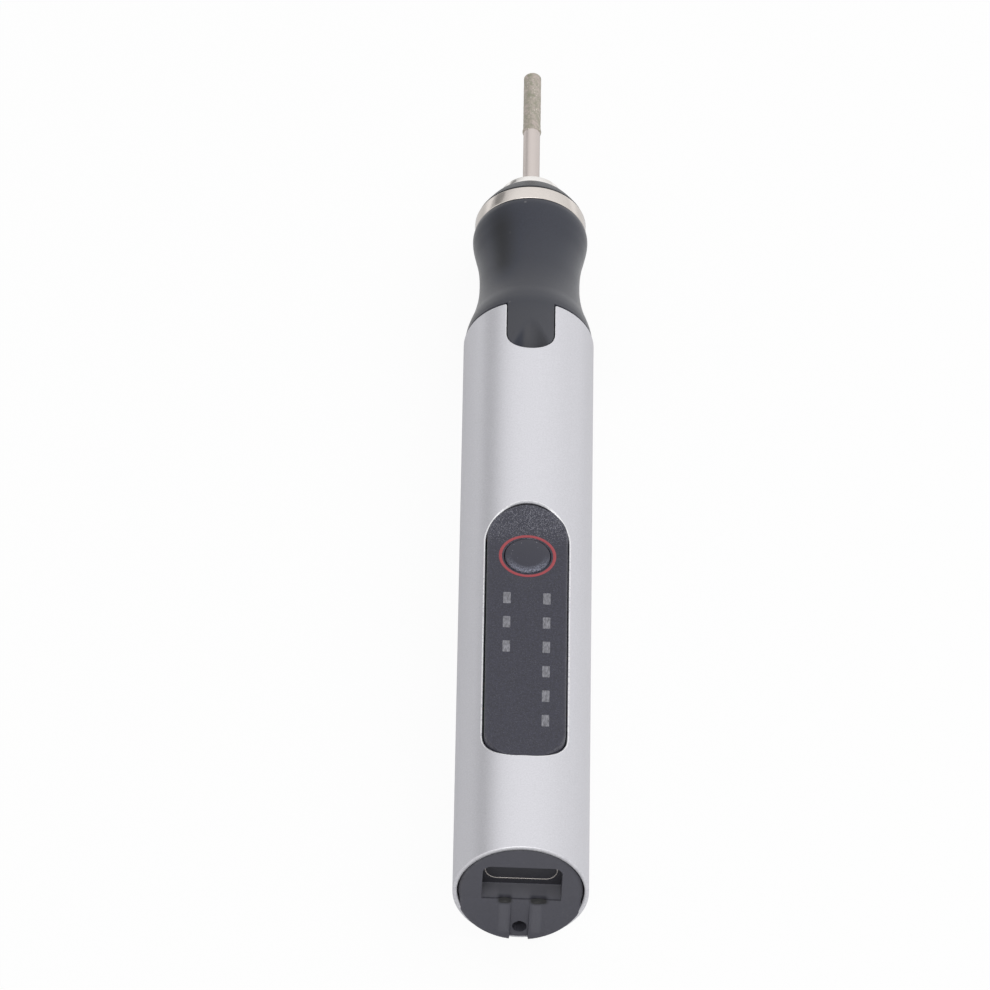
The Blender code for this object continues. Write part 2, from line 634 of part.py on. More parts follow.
def build_motor(pen, spindle_axis):
    """Motor: can, end bell, two magnets, rubber sleeve, and the rotor that turns with the spindle."""
    shaft_bore = MOTOR_SHAFT_RADIUS + CLEARANCE
    turned("motor_can", [
        (can_rear, can_bore), (can_rear, can_radius), (can_front, can_radius), (can_front, shaft_bore),
        (can_front - CAN_WALL, shaft_bore), (can_front - CAN_WALL, can_bore),
    ], "steel", pen, LARGE_SIDES)
    sleeve("motor_end_bell", bell_rear, bell_rear + BELL_LENGTH, shaft_bore, can_radius, "frame_plastic",
           pen, LARGE_SIDES)
    sleeve("motor_sleeve", can_rear + SLEEVE_INSET, can_front - SLEEVE_INSET, can_radius + CLEARANCE,
           inner_radius, "soft_black", pen, LARGE_SIDES)
    magnet_rear = can_rear + MAGNET_INSET
    magnet_front = can_front - MAGNET_INSET
    reach = magnet_radius + OVERRUN
    for side, word in ((-1, "left"), (1, "right")):
        magnet = sleeve("motor_magnet_" + word, magnet_rear, magnet_front, magnet_radius - MAGNET_THICKNESS,
                        magnet_radius, "magnet_black", pen, LARGE_SIDES)
        edges = sorted((-side * reach, side * MAGNET_SPLIT))
        combine(magnet, block("magnet_%s_cutter" % word, edges[0], edges[1], magnet_rear - OVERRUN,
                              magnet_front + OVERRUN, -reach, reach, None, pen))
    commutator_front = can_rear + COMMUTATOR_LENGTH
    turned("motor_rotor", [
        (bell_rear + MOTOR_SHAFT_TAIL, 0), (bell_rear + MOTOR_SHAFT_TAIL, MOTOR_SHAFT_RADIUS),
        (can_rear, MOTOR_SHAFT_RADIUS), (can_rear, COMMUTATOR_RADIUS),
        (commutator_front, COMMUTATOR_RADIUS), (commutator_front, MOTOR_SHAFT_RADIUS),
        (magnet_rear, MOTOR_SHAFT_RADIUS), (magnet_rear, armature_radius), (magnet_front, armature_radius),
        (magnet_front, MOTOR_SHAFT_RADIUS), (shaft_front, MOTOR_SHAFT_RADIUS), (shaft_front, 0),
    ], "steel", spindle_axis, MEDIUM_SIDES)


def build_grip(pen):
    """Grip with its spigot in the tube, the tongue in the notch, the scoop and the lamp's hole."""
    bore_step = barrel_rear - CLEARANCE
    outside = [(spigot_rear, SPIGOT_BORE), (spigot_rear, inner_radius), (shoulder, inner_radius)]
    inside = [(grip_front, grip_bore), (bore_step, grip_bore), (bore_step, SPIGOT_BORE)]
    grip = turned("front_grip", outside + grip_profile() + inside, "soft_black", pen, LARGE_SIDES)
    tongue_front = shoulder + GRIP_STEP
    tongue = prism("tongue_form", notch_outline(CLEARANCE, tongue_front), inner_radius - TONGUE_ROOT,
                   TUBE_RADIUS + OVERRUN, None, pen)
    crown = sleeve("tongue_crown_form", notch_rear - OVERRUN, tongue_front + OVERRUN, grip_bore,
                   TUBE_RADIUS - TONGUE_STEP, None, pen, LARGE_SIDES)
    combine(tongue, crown, "INTERSECT")
    combine(grip, tongue, "UNION")
    scoop = turned("scoop_cutter", [
        (scoop_rear, 0), (scoop_rear, SCOOP_DEPTH), (scoop_rear + SCOOP_LENGTH, 0),
    ], None, pen, MEDIUM_SIDES, TUBE_RADIUS)
    combine(grip, scoop)
    hole_radius = LIGHT_RADIUS + CLEARANCE
    hole_front = scoop_rear + LIGHT_DOME + CLEARANCE
    hole = turned("light_hole_cutter", [
        (spigot_rear - OVERRUN, 0), (spigot_rear - OVERRUN, hole_radius), (hole_front, hole_radius),
        (hole_front, 0)], None, pen, SMALL_SIDES, light_height)
    combine(grip, hole)


def build_work_light(pen):
    """Round lamp that shines along the scoop."""
    front = scoop_rear
    rear = front - LIGHT_LENGTH
    profile = [(rear, 0), (rear, LIGHT_RADIUS)]
    for along, out in arc(0, 0, 1.0, 0, 90, 4):
        profile.append((front + LIGHT_DOME * out, LIGHT_RADIUS * along if out < 1.0 else 0))
    turned("work_light", profile, "clear_lens", pen, TINY_SIDES, light_height)


def build_bearings(pen, spindle_axis):
    """Two ball bearings in a barrel, with a spacer between their outer races."""
    turned("bearing_barrel", [
        (barrel_rear, outer_race_bore), (barrel_rear, barrel_radius), (barrel_front, barrel_radius),
        (barrel_front, barrel_bore), (barrel_rear + BARREL_LIP, barrel_bore),
        (barrel_rear + BARREL_LIP, outer_race_bore),
    ], "steel", pen)
    for word, rear in (("rear", rear_bearing), ("front", front_bearing)):
        front = rear + BEARING_WIDTH
        sleeve(word + "_bearing_outer_race", rear, front, outer_race_bore, outer_race_radius, "steel", pen)
        sleeve(word + "_bearing_inner_race", rear, front, inner_race_bore, inner_race_radius, "steel",
               spindle_axis)
    sleeve("bearing_spacer", rear_bearing + BEARING_WIDTH + CLEARANCE, front_bearing - CLEARANCE,
           outer_race_radius - SPACER_WALL, outer_race_radius, "brass", pen)


def build_spindle(spindle_axis):
    """Spindle with its tail in the coupling, and the slit collet in its front end."""
    turned("spindle", [
        (tail_rear, 0), (tail_rear, SPINDLE_TAIL_RADIUS), (spindle_rear, SPINDLE_TAIL_RADIUS),
        (spindle_rear, spindle_radius), (spindle_front, spindle_radius), (spindle_front, spindle_bore),
        (collet_rear - CLEARANCE, spindle_bore), (collet_rear - CLEARANCE, SHANK_RADIUS + CLEARANCE),
        (shank_rear - CLEARANCE, SHANK_RADIUS + CLEARANCE), (shank_rear - CLEARANCE, 0),
    ], "steel", spindle_axis)
    head_rear_face = collet_front - COLLET_HEAD
    collet = turned("collet", [
        (collet_rear, shank_bore), (collet_rear, collet_radius), (head_rear_face, collet_radius),
        (head_rear_face, collet_radius + COLLET_LIP), (collet_front, collet_radius + COLLET_LIP),
        (collet_front, shank_bore)], "nickel", spindle_axis)
    reach = collet_radius + COLLET_LIP + OVERRUN
    for index in range(COLLET_SLITS):
        slit = block("collet_slit_cutter_%d" % (index + 1), -COLLET_SLIT / 2, COLLET_SLIT / 2,
                     collet_rear + COLLET_LENGTH / 4, collet_front + OVERRUN, 0, reach, None, spindle_axis)
        slit.rotation_euler.y = 2 * math.pi * index / COLLET_SLITS
        combine(collet, slit)
    shaft_bore = MOTOR_SHAFT_RADIUS + CLEARANCE
    tail_bore = SPINDLE_TAIL_RADIUS + CLEARANCE
    coupling_radius = tail_bore + COUPLING_WALL
    turned("shaft_coupling", [
        (can_front + 2 * CLEARANCE, shaft_bore), (can_front + 2 * CLEARANCE, coupling_radius),
        (spindle_rear - CLEARANCE, coupling_radius), (spindle_rear - CLEARANCE, tail_bore),
        (shaft_front, tail_bore), (shaft_front, shaft_bore),
    ], "brass", spindle_axis)


def build_bur(bur_axis):
    """Diamond bur: the shank and its head, which is a little wider."""
    turned("diamond_bur", [
        (shank_rear, 0), (shank_rear, SHANK_RADIUS), (head_rear, SHANK_RADIUS), (head_rear, HEAD_RADIUS),
        (bur_front - HEAD_ROUND, HEAD_RADIUS), (bur_front - HEAD_ROUND / 4, HEAD_RADIUS - HEAD_ROUND / 3),
        (bur_front, HEAD_RADIUS - HEAD_ROUND), (bur_front, 0),
    ], "steel", bur_axis, SMALL_SIDES)


def build_nose(collar_axis):
    """Nose that turns to lock the collet: nickel ring, black cone, nickel tip and the cam inside."""
    ring_bore = nose_spigot_radius + CLEARANCE
    turned("nose_ring", [
        (ring_rear, ring_bore), (ring_rear, RING_RADIUS - RING_EDGE / 2), (ring_rear + RING_EDGE / 2, RING_RADIUS),
        (ring_front - RING_EDGE, RING_RADIUS), (ring_front, RING_RADIUS - RING_EDGE), (ring_front, ring_bore),
    ], "nickel", collar_axis, LARGE_SIDES)
    web_rear = cone_rear
    spigot = [(nose_spigot_rear, nose_spigot_bore), (nose_spigot_rear, nose_spigot_radius),
              (cone_rear, nose_spigot_radius)]
    socket = tip_spigot_radius + CLEARANCE
    inside = [(cone_front, socket), (web_rear, socket), (web_rear, nose_spigot_bore)]
    turned("nose_cone", spigot + cone_profile() + inside, "soft_black", collar_axis, LARGE_SIDES)
    turned("nose_tip", [
        (tip_rear - TIP_SPIGOT, tip_bore), (tip_rear - TIP_SPIGOT, tip_spigot_radius),
        (tip_rear, tip_spigot_radius), (tip_rear, TIP_RADIUS), (tip_rear + TIP_LENGTH / 2, TIP_RADIUS),
        (tip_front, TIP_FACE_RADIUS), (tip_front, TIP_MOUTH_RADIUS), (tip_front - TIP_WEB, TIP_MOUTH_RADIUS),
        (tip_front - TIP_WEB, tip_bore),
    ], "nickel", collar_axis, MEDIUM_SIDES)
    sleeve("lock_cam", nose_spigot_rear, cone_rear - CLEARANCE, cam_bore, cam_radius, "steel", collar_axis)


def lead(name, route, finish, parent):
    """A thin insulated lead along a smooth curve through its route."""
    points = []
    ends = [route[0]] + list(route) + [route[-1]]
    for before, start, end, after in zip(ends, ends[1:], ends[2:], ends[3:]):
        for step in range(4):
            share = step / 4
            place = [smooth(((-1.0, a), (0.0, b), (1.0, c), (2.0, d)), share)
                     for a, b, c, d in zip(before, start, end, after)]
            points.append(place)
    points.append(route[-1])
    curve = bpy.data.curves.new(name, "CURVE")
    curve.dimensions = "3D"
    curve.bevel_depth = LEAD_RADIUS
    curve.bevel_resolution = 1
    curve.use_fill_caps = True
    curve.render_resolution_u = 0
    line = curve.splines.new("POLY")
    line.points.add(len(points) - 1)
    for point, place in zip(line.points, points):
        point.co = (*place, 1.0)
    item = bpy.data.objects.new(name, curve)
    item.parent = parent
    curve.materials.append(material_for(name, finish))
    bpy.context.scene.collection.objects.link(item)


def build_leads(pen):
    """Two leads from the main board to the motor, and two over the charge board through the bulkhead."""
    board_middle = (board_top + board_bottom) / 2
    halfway = board_front + LEAD_ROOM / 2
    bell_height = board_middle - 3 * BELL_LENGTH / 2
    cell_lead_height = charge_board_top + CLEARANCE + LEAD_RADIUS
    for side, word, finish in ((-1, "black", "black_lead"), (1, "red", "red_lead")):
        across = side * LEAD_SPREAD
        lead("motor_lead_" + word, [
            (across, board_front + CLEARANCE, board_middle), (across, halfway, board_middle - 2 * LEAD_RADIUS),
            (across, halfway, bell_height + 2 * LEAD_RADIUS), (across, bell_rear - CLEARANCE, bell_height),
        ], finish, pen)
        lead("battery_lead_" + word, [
            (across / 2, charge_board_front - BULKHEAD, cell_lead_height),
            (across / 2, rear_bulkhead + BULKHEAD / 2, cell_lead_height),
            (across / 2, cell_rear - CLEARANCE, cell_lead_height),
        ], finish, pen)


def build_pen():
    """Build the whole pen round its axis."""
    clear_scene()
    pen = add_frame("pen_axis", (0, -middle, axis_height))
    spindle_axis = add_frame("spindle_axis", (0, 0, 0), pen)
    bur_axis = add_frame("bur_axis", (0, 0, 0), spindle_axis)
    collar_axis = add_frame("collar_axis", (0, 0, 0), pen)
    build_tube(pen)
    build_rear_cap(pen)
    build_port(pen)
    build_chassis(pen)
    build_cell(pen)
    build_board(pen)
    build_panel(pen)
    build_button(pen)
    build_motor(pen, spindle_axis)
    build_grip(pen)
    build_work_light(pen)
    build_bearings(pen, spindle_axis)
    build_spindle(spindle_axis)
    build_bur(bur_axis)
    build_nose(collar_axis)
    build_leads(pen)


build_pen()
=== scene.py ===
"""Detailed pieces, finishes and studio for a cordless engraving pen.

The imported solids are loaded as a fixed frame, and every new piece sits on one of its bodies.
Pieces are worked out in the pen's own places: x across, s the station along the axis from the
tube's rear end, and z the height above the axis. All sizes are in metres.
"""
import json
import math

import bpy
import numpy as np
from mathutils import Matrix, Vector


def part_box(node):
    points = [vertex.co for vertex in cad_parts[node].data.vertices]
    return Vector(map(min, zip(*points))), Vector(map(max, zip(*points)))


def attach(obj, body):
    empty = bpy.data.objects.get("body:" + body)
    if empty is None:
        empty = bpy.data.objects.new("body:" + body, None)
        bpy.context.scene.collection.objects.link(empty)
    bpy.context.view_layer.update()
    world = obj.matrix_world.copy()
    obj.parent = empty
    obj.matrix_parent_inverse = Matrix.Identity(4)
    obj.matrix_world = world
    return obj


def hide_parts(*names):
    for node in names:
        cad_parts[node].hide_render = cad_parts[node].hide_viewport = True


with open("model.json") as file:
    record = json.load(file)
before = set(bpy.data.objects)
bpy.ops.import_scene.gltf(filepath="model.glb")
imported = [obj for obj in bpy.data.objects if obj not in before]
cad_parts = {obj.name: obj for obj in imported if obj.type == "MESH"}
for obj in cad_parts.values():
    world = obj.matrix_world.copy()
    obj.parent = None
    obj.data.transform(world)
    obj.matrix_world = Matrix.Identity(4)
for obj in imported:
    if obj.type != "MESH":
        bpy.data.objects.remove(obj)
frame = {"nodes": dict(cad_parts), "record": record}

bl_info = {
    "name": "Engraving pen",
    "version": (1, 0, 0),
    "blender": (4, 5, 0),
    "location": "3D View > Sidebar > Pen",
    "description": "Builds the pieces, finishes and studio of a cordless engraving pen",
    "category": "Add Mesh",
}

MM = 0.001
WELD = 1e-8                 # points closer than this are one point
TINY = 1e-9                 # keeps a divisor off nought
bpy.context.view_layer.update()
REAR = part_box("body_tube")[0].y
AXIS = (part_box("diamond_bur")[0].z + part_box("diamond_bur")[1].z) / 2


def corners(node):
    """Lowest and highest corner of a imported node, in the pen's places."""
    return np.array([list(corner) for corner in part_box(node)]) - (0, REAR, AXIS)


def station(node, end):
    """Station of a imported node's rear (0) or front (1) end."""
    return corners(node)[end, 1]


# ---------------------------------------------------------------- sizes and colours that a user may change

def number(name, description, default, low=0.0, **kind):
    return bpy.props.FloatProperty(name=name, description=description, default=default, min=low, **kind)


def length(name, description, default):
    return number(name, description, default, unit="LENGTH", precision=5)


def portion(name, description, default):
    return number(name, description, default, max=1.0, subtype="FACTOR")


def tint(name, description, default):
    return bpy.props.FloatVectorProperty(name=name, description=description, default=default, size=3,
                                         min=0.0, max=1.0, subtype="COLOR")


class PenSizes(bpy.types.PropertyGroup):
    """Sizes of the visible pieces."""
    tube_radius: length("Tube radius", "Outer radius of the aluminium tube", 9.0 * MM)
    tube_wall: length("Tube wall", "Thickness of the tube's wall", 0.7 * MM)
    tube_edge: length("Window edge", "Width of the bright edge round the window", 0.30 * MM)
    window_half: length("Window half width", "Half the width of the panel's window", 5.57 * MM)
    window_corner: length("Window corner", "Radius of the window's rear corners", 5.0 * MM)
    window_rear: length("Window rear", "Station of the window's rear end", 16.2 * MM)
    window_front: length("Window front", "Station of the window's front end", 62.3 * MM)
    notch_half: length("Notch half width", "Half the width of the notch at the tube's front", 3.34 * MM)
    notch_rear: length("Notch rear", "Station of the notch's rounded end", 91.7 * MM)
    panel_gap: length("Panel gap", "Gap between the panel and its window", 0.15 * MM)
    panel_top: length("Panel height", "Height of the flat panel above the axis", 8.3 * MM)
    panel_rise: length("Panel rise", "How far the panel's front end rises to the tube", 0.42 * MM)
    button_radius: length("Button radius", "Radius of the power button", 3.1 * MM)
    ring_radius: length("Printed ring radius", "Middle radius of the red ring", 3.66 * MM)
    ring_line: length("Printed ring line", "Width of the red ring's line", 0.41 * MM)
    mark_width: length("Mark width", "Width of a printed mark", 1.0 * MM)
    mark_length: length("Mark length", "Length of a printed mark", 2.05 * MM)
    scoop_depth: length("Scoop depth", "Depth of the work light's scoop at its rear end", 3.0 * MM)
    scoop_length: length("Scoop length", "Length of the work light's scoop", 5.2 * MM)
    scoop_floor: length("Scoop floor", "Half the width of the scoop's flat floor", 0.8 * MM)
    scoop_slope: number("Scoop slope", "Rise of the scoop's sides for each unit across", 1.0, 0.2, max=3.0)
    tongue_half: length("Tongue half width", "Half the width of the grip's tongue", 3.21 * MM)
    shank_radius: length("Shank radius", "Radius of the bur's shank", 1.175 * MM)
    head_radius: length("Head radius", "Radius of the bur's head", 1.25 * MM)
    grit: length("Grit", "Height of the diamond grains", 0.075 * MM)


class PenColours(bpy.types.PropertyGroup):
    """Colours of the visible pieces."""
    tube: tint("Tube", "Bead-blasted aluminium", (0.735, 0.732, 0.773))
    cap: tint("Cap", "Moulded rear cap", (0.070, 0.070, 0.088))
    grip: tint("Grip", "Soft-touch grip", (0.0235, 0.027, 0.042))
    cone: tint("Cone", "Satin nose cone", (0.045, 0.047, 0.055))
    panel: tint("Panel", "Textured control panel", (0.033, 0.033, 0.0500))
    fleck: tint("Fleck", "Light flecks in the panel", (0.37, 0.375, 0.43))
    ring: tint("Ring", "Printed ring round the button", (0.38, 0.058, 0.071))
    mark: tint("Mark", "Printed marks", (0.215, 0.215, 0.24))
    nickel: tint("Nickel", "Nickel plate", (0.74, 0.69, 0.65))
    steel: tint("Steel", "Ground steel", (0.69, 0.625, 0.595))
    grit: tint("Grit", "Diamond grit", (0.45, 0.41, 0.35))
    brass: tint("Brass", "Turned brass", (0.75, 0.58, 0.30))


class StudioSettings(bpy.types.PropertyGroup):
    """Floor, lamps and surroundings."""
    floor_size: length("Floor size", "Side of the floor", 6.0)
    floor_tone: portion("Floor tone", "Share of light that the floor returns", 0.95)
    shadow: portion("Shadow", "How much of the shadow the white floor keeps", 0.06)
    surround: number("Surround", "Level of the light from all round", 0.52, max=2.0)
    lamp: number("Lamp", "Power of the wide soft lamp above", 3.2, unit="POWER")
    fill: number("Fill", "Power of the lamp beside the camera", 2.0, unit="POWER")


# ---------------------------------------------------------------- curves and surfaces

def ramp(value, low, high):
    """Nought below low, one above high, and a straight rise between them."""
    return np.clip((value - low) / (high - low), 0, 1)


def eased(value, low, high):
    """Nought below low, one above high, and an S curve between them: 3 t squared less 2 t cubed."""
    t = ramp(value, low, high)
    return t * t * (3 - 2 * t)


def bell(value, middle, width, power=2):
    """One at the middle and less on both sides: e to the minus (distance over width) to a power."""
    return np.exp(-(np.abs(value - middle) / width) ** power)


def hump(value, middle, half):
    """One at the middle and nought from half a width out: one less (distance over half) to the fourth."""
    return np.clip(1 - (np.abs(value - middle) / half) ** 4, 0, 1)


def ways(degrees):
    """Unit vectors (sine, cosine) of angles in degrees."""
    turn = np.radians(degrees)
    return np.stack([np.sin(turn), np.cos(turn)], axis=-1)


def joined(*coordinates):
    """Points from their coordinates, any of which may be one number for all."""
    return np.stack(np.broadcast_arrays(*coordinates), axis=-1)


def spaced(*spans):
    """Values over (start, end, count) spans that follow one another, with each shared end there once."""
    return np.concatenate([np.linspace(*span)[min(k, 1):] for k, span in enumerate(spans)])


def sheet(rows, columns, loop_rows=False, loop_columns=False):
    """Quads of a grid of points: corners (i, j), (i, j+1), (i+1, j+1), (i+1, j), wrapped where it loops."""
    i, j = np.meshgrid(np.arange(rows - (not loop_rows)), np.arange(columns - (not loop_columns)),
                       indexing="ij")
    i, j = i.ravel(), j.ravel()
    k, m = (i + 1) % rows, (j + 1) % columns
    return np.stack([i * columns + j, i * columns + m, k * columns + m, k * columns + j], axis=1)


def wrapped(points, **marks):
    """A shell from a grid of points whose rows and columns both loop, with its marks."""
    return points, sheet(*points.shape[:2], loop_rows=True, loop_columns=True), marks


def closed_up(points, quads):
    """Points in one place become one. A quad that loses a corner becomes a triangle, and one that loses
    more, or that lies back to back on another, goes."""
    keys = np.round(points / WELD).astype(np.int64)
    _, first, index = np.unique(keys, axis=0, return_index=True, return_inverse=True)
    quads = index.reshape(-1)[quads]
    same = quads == np.roll(quads, -1, axis=1)
    lost = same.sum(axis=1)
    whole = (quads[:, 0] != quads[:, 2]) & (quads[:, 1] != quads[:, 3])
    full, thin = quads[(lost == 0) & whole], quads[(lost == 1) & whole]
    away = np.argmax(same[(lost == 1) & whole], axis=1)
    triangles = np.take_along_axis(thin, (away[:, None] + np.array([1, 2, 3])) % 4, axis=1)
    kept = []
    for faces in (full, triangles):
        _, which, count = np.unique(np.sort(faces, axis=1), axis=0, return_inverse=True, return_counts=True)
        kept.append(faces[count[which.reshape(-1)] == 1])
    used, places = np.unique(np.concatenate([faces.ravel() for faces in kept]), return_inverse=True)
    sizes = [faces.size for faces in kept]
    full, triangles = np.split(places.reshape(-1), [sizes[0]])
    return first[used], full.reshape(-1, 4), triangles.reshape(-1, 3)


def outward(points, quads, triangles):
    """Faces turned so that the volume that they enclose is positive. Six times that volume is the sum of
    the triple products of the triangles' corners."""
    corners = np.concatenate([quads[:, [0, 1, 2]], quads[:, [0, 2, 3]], triangles])
    a, b, c = (points[corners[:, k]] for k in range(3))
    if np.einsum("ij,ij->", a, np.cross(b, c)) < 0:
        quads, triangles = quads[:, ::-1], triangles[:, ::-1]
    return quads, triangles

def add_piece(name, shells, material, body, nodes=(), angle=35, normals=None):
    """One object from closed shells, moved from the pen's places to the frame's. A shell is its points, its
    quads and, where it has them, its marks of wear and painted highlight and its tone marks, which are
    painted light and shade on most pieces. Edges sharper than the angle stay sharp, and normals works out
    the normals that a piece has of its own."""
    points, quads, triangles, start = [], [], [], 0
    marks = {"wear": [], "tone": []}
    for grid, grid_quads, *given in shells:
        grid = np.ascontiguousarray(grid, dtype=float).reshape(-1, 3)
        kept, full, thin = closed_up(grid, grid_quads)
        full, thin = outward(grid[kept] - grid[kept].mean(axis=0), full, thin)
        points.append(grid[kept])
        quads.append(full + start)
        triangles.append(thin + start)
        start += len(kept)
        for label, values in marks.items():
            own = given[0].get(label) if given else None
            values.append(np.zeros(len(kept)) if own is None else np.ravel(own)[kept])
    places = np.concatenate(points)
    mesh = bpy.data.meshes.new(name)
    mesh.from_pydata((places + (0.0, REAR, AXIS)).tolist(), [],
                     np.concatenate(quads).tolist() + np.concatenate(triangles).tolist())
    mesh.shade_smooth()
    mesh.set_sharp_from_angle(angle=math.radians(angle))
    for label, values in marks.items():
        values = np.concatenate(values).astype(np.float32)
        mesh.attributes.new(label, "FLOAT", "POINT").data.foreach_set("value", values)
    if normals:
        mesh.normals_split_custom_set_from_vertices(normals(places).tolist())
    mesh.materials.append(material)
    piece = bpy.data.objects.new(name, mesh)
    bpy.context.scene.collection.objects.link(piece)
    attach(piece, body)
    if nodes:
        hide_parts(*nodes)
    return piece


def rounded(corners, steps=5):
    """A line through corners of (u, v, radius), each rounded by an arc that touches both of its sides."""
    rows = []
    count = len(corners)
    for k, (u, v, radius) in enumerate(corners):
        here = np.array([u, v])
        if not radius or k in (0, count - 1):
            rows.append(here[None])
            continue
        before = np.array(corners[k - 1][:2]) - here
        after = np.array(corners[k + 1][:2]) - here
        before, after = before / np.linalg.norm(before), after / np.linalg.norm(after)
        half = math.acos(max(-1.0, min(1.0, float(before @ after)))) / 2
        reach = radius / math.tan(half)
        centre = here + (before + after) / np.linalg.norm(before + after) * radius / math.sin(half)
        first, last = here + before * reach - centre, here + after * reach - centre
        turn = np.linspace(0.0, 1.0, steps + 1)[:, None]
        sweep = math.pi - 2 * half
        arc = (np.sin((1 - turn) * sweep) * first + np.sin(turn * sweep) * last) / math.sin(sweep)
        rows.append(centre + arc)
    return np.concatenate(rows)


def turned(profile, sides=128, hollow=False):
    """A profile of (station, radius) turned round the axis: x = r sin a, z = r cos a."""
    angle = np.arange(sides) * (2 * math.pi / sides)
    s, r = profile[:, :1], profile[:, 1:2]
    return joined(r * np.sin(angle), s, r * np.cos(angle)), sheet(len(profile), sides, hollow, True)


def raised(profile, centre, sides=96, hollow=False):
    """A profile of (radius, height) turned round an upright line through a station on the middle line."""
    points, quads = turned(profile[:, ::-1], sides, hollow)
    return points[..., (0, 2, 1)] + (0, centre, 0), quads


def through(stations, knots):
    """Radii at stations, on a cubic through the knots whose slope at a knot is that of its two neighbours."""
    knots = np.asarray(knots)
    at, value = knots[:, 0], knots[:, 1]
    slope = np.gradient(value, at)
    k = np.clip(np.searchsorted(at, stations) - 1, 0, len(at) - 2)
    step = at[k + 1] - at[k]
    t = (stations - at[k]) / step
    return ((1 + 2 * t) * (1 - t) ** 2 * value[k] + t * (1 - t) ** 2 * step * slope[k]
            + t * t * (3 - 2 * t) * value[k + 1] - t * t * (1 - t) * step * slope[k + 1])


def both_sides(half):
    """A half outline from one end of the middle line to the other, with its mirror image after it."""
    back = half[..., -2:0:-1, :].copy()
    back[..., 0] *= -1
    return np.concatenate([half, back], axis=-2)


# ---------------------------------------------------------------- tube and panel

NOTCH_LIP = 0.3 * MM            # rounding between the notch and the tube's front rim
REAR_OVERHANG = 0.2 * MM        # of the tube's rear rim behind station 0
REAR_FLARE = 0.55 * MM          # how far the rear rim's inner edge lies under the tube's surface
REAR_SEAT = 1.3 * MM            # station up to which the cap fills the bore
RIM_SOFT, RIM_MIDDLE = 0.13 * MM, 0.04 * MM         # width of the rims' rounding, and its middle row's place
BORE_SOFT = 0.06 * MM           # bevel between the rims and the bore
EDGE_STEP = 0.03 * MM           # from the window's edge to the first row outside it
REAR_WEAR, BORE_PAINTED_HIGHLIGHT = 0.10, 0.6                    # wear and painted highlight of the rear rim, and painted highlight on the window's wall from the bore, where other edges have 1
FRONT_PAINTED_SHADE = -1.15              # painted shade at the front end of the window's edge
PANEL_THICKNESS, PANEL_SIDE = 1.05 * MM, 0.3 * MM   # and height of the rim's upper part
PANEL_SKIRT = 0.8 * MM          # width of the skirt's foot under the panel's rim
PANEL_SOFT, HOLE_SOFT = 0.13 * MM, 0.12 * MM        # width of the roundings at the outline and at the hole
SOFT_MIDDLE = 0.035 * MM                            # their middle row's place
FLAT_REACH, FLAT_EDGE = 0.5 * MM, 0.3 * MM          # in from the outline, of the flat's last two rows
FRONT_GAP_SHARE = 0.65          # of the gap that goes at the front end
BUTTON_GAP = 0.07 * MM
RISE_START, RISE_WIDTH = 4.1 * MM, 2.5 * MM         # ahead of the button's middle, and across
RISE_END = 0.2 * MM             # behind the window's front end


def window_half(sizes):
    """Half the window's outline, front tip to rear middle, and the way out of the window at each point:
    a quarter circle, a straight side, a corner's quarter circle and a straight end."""
    wide, corner = sizes.window_half, sizes.window_corner
    front, rear = sizes.window_front - wide, sizes.window_rear + corner
    arc = ways(spaced((0, 35, 20), (35, 38, 5), (38, 42, 7), (42, 90, 51)))
    bend = ways(np.linspace(90, 180, 48))
    side, end = np.linspace(front, rear, 18)[1:-1], np.linspace(wide - corner, 0, 17)[1:]
    outline = np.concatenate([arc * wide + (0, front), joined(wide, side),
                              bend * corner + (wide - corner, rear), joined(end, sizes.window_rear)])
    return outline, np.concatenate([arc, joined(1.0, 0 * side), bend, joined(0 * end, -1.0)])


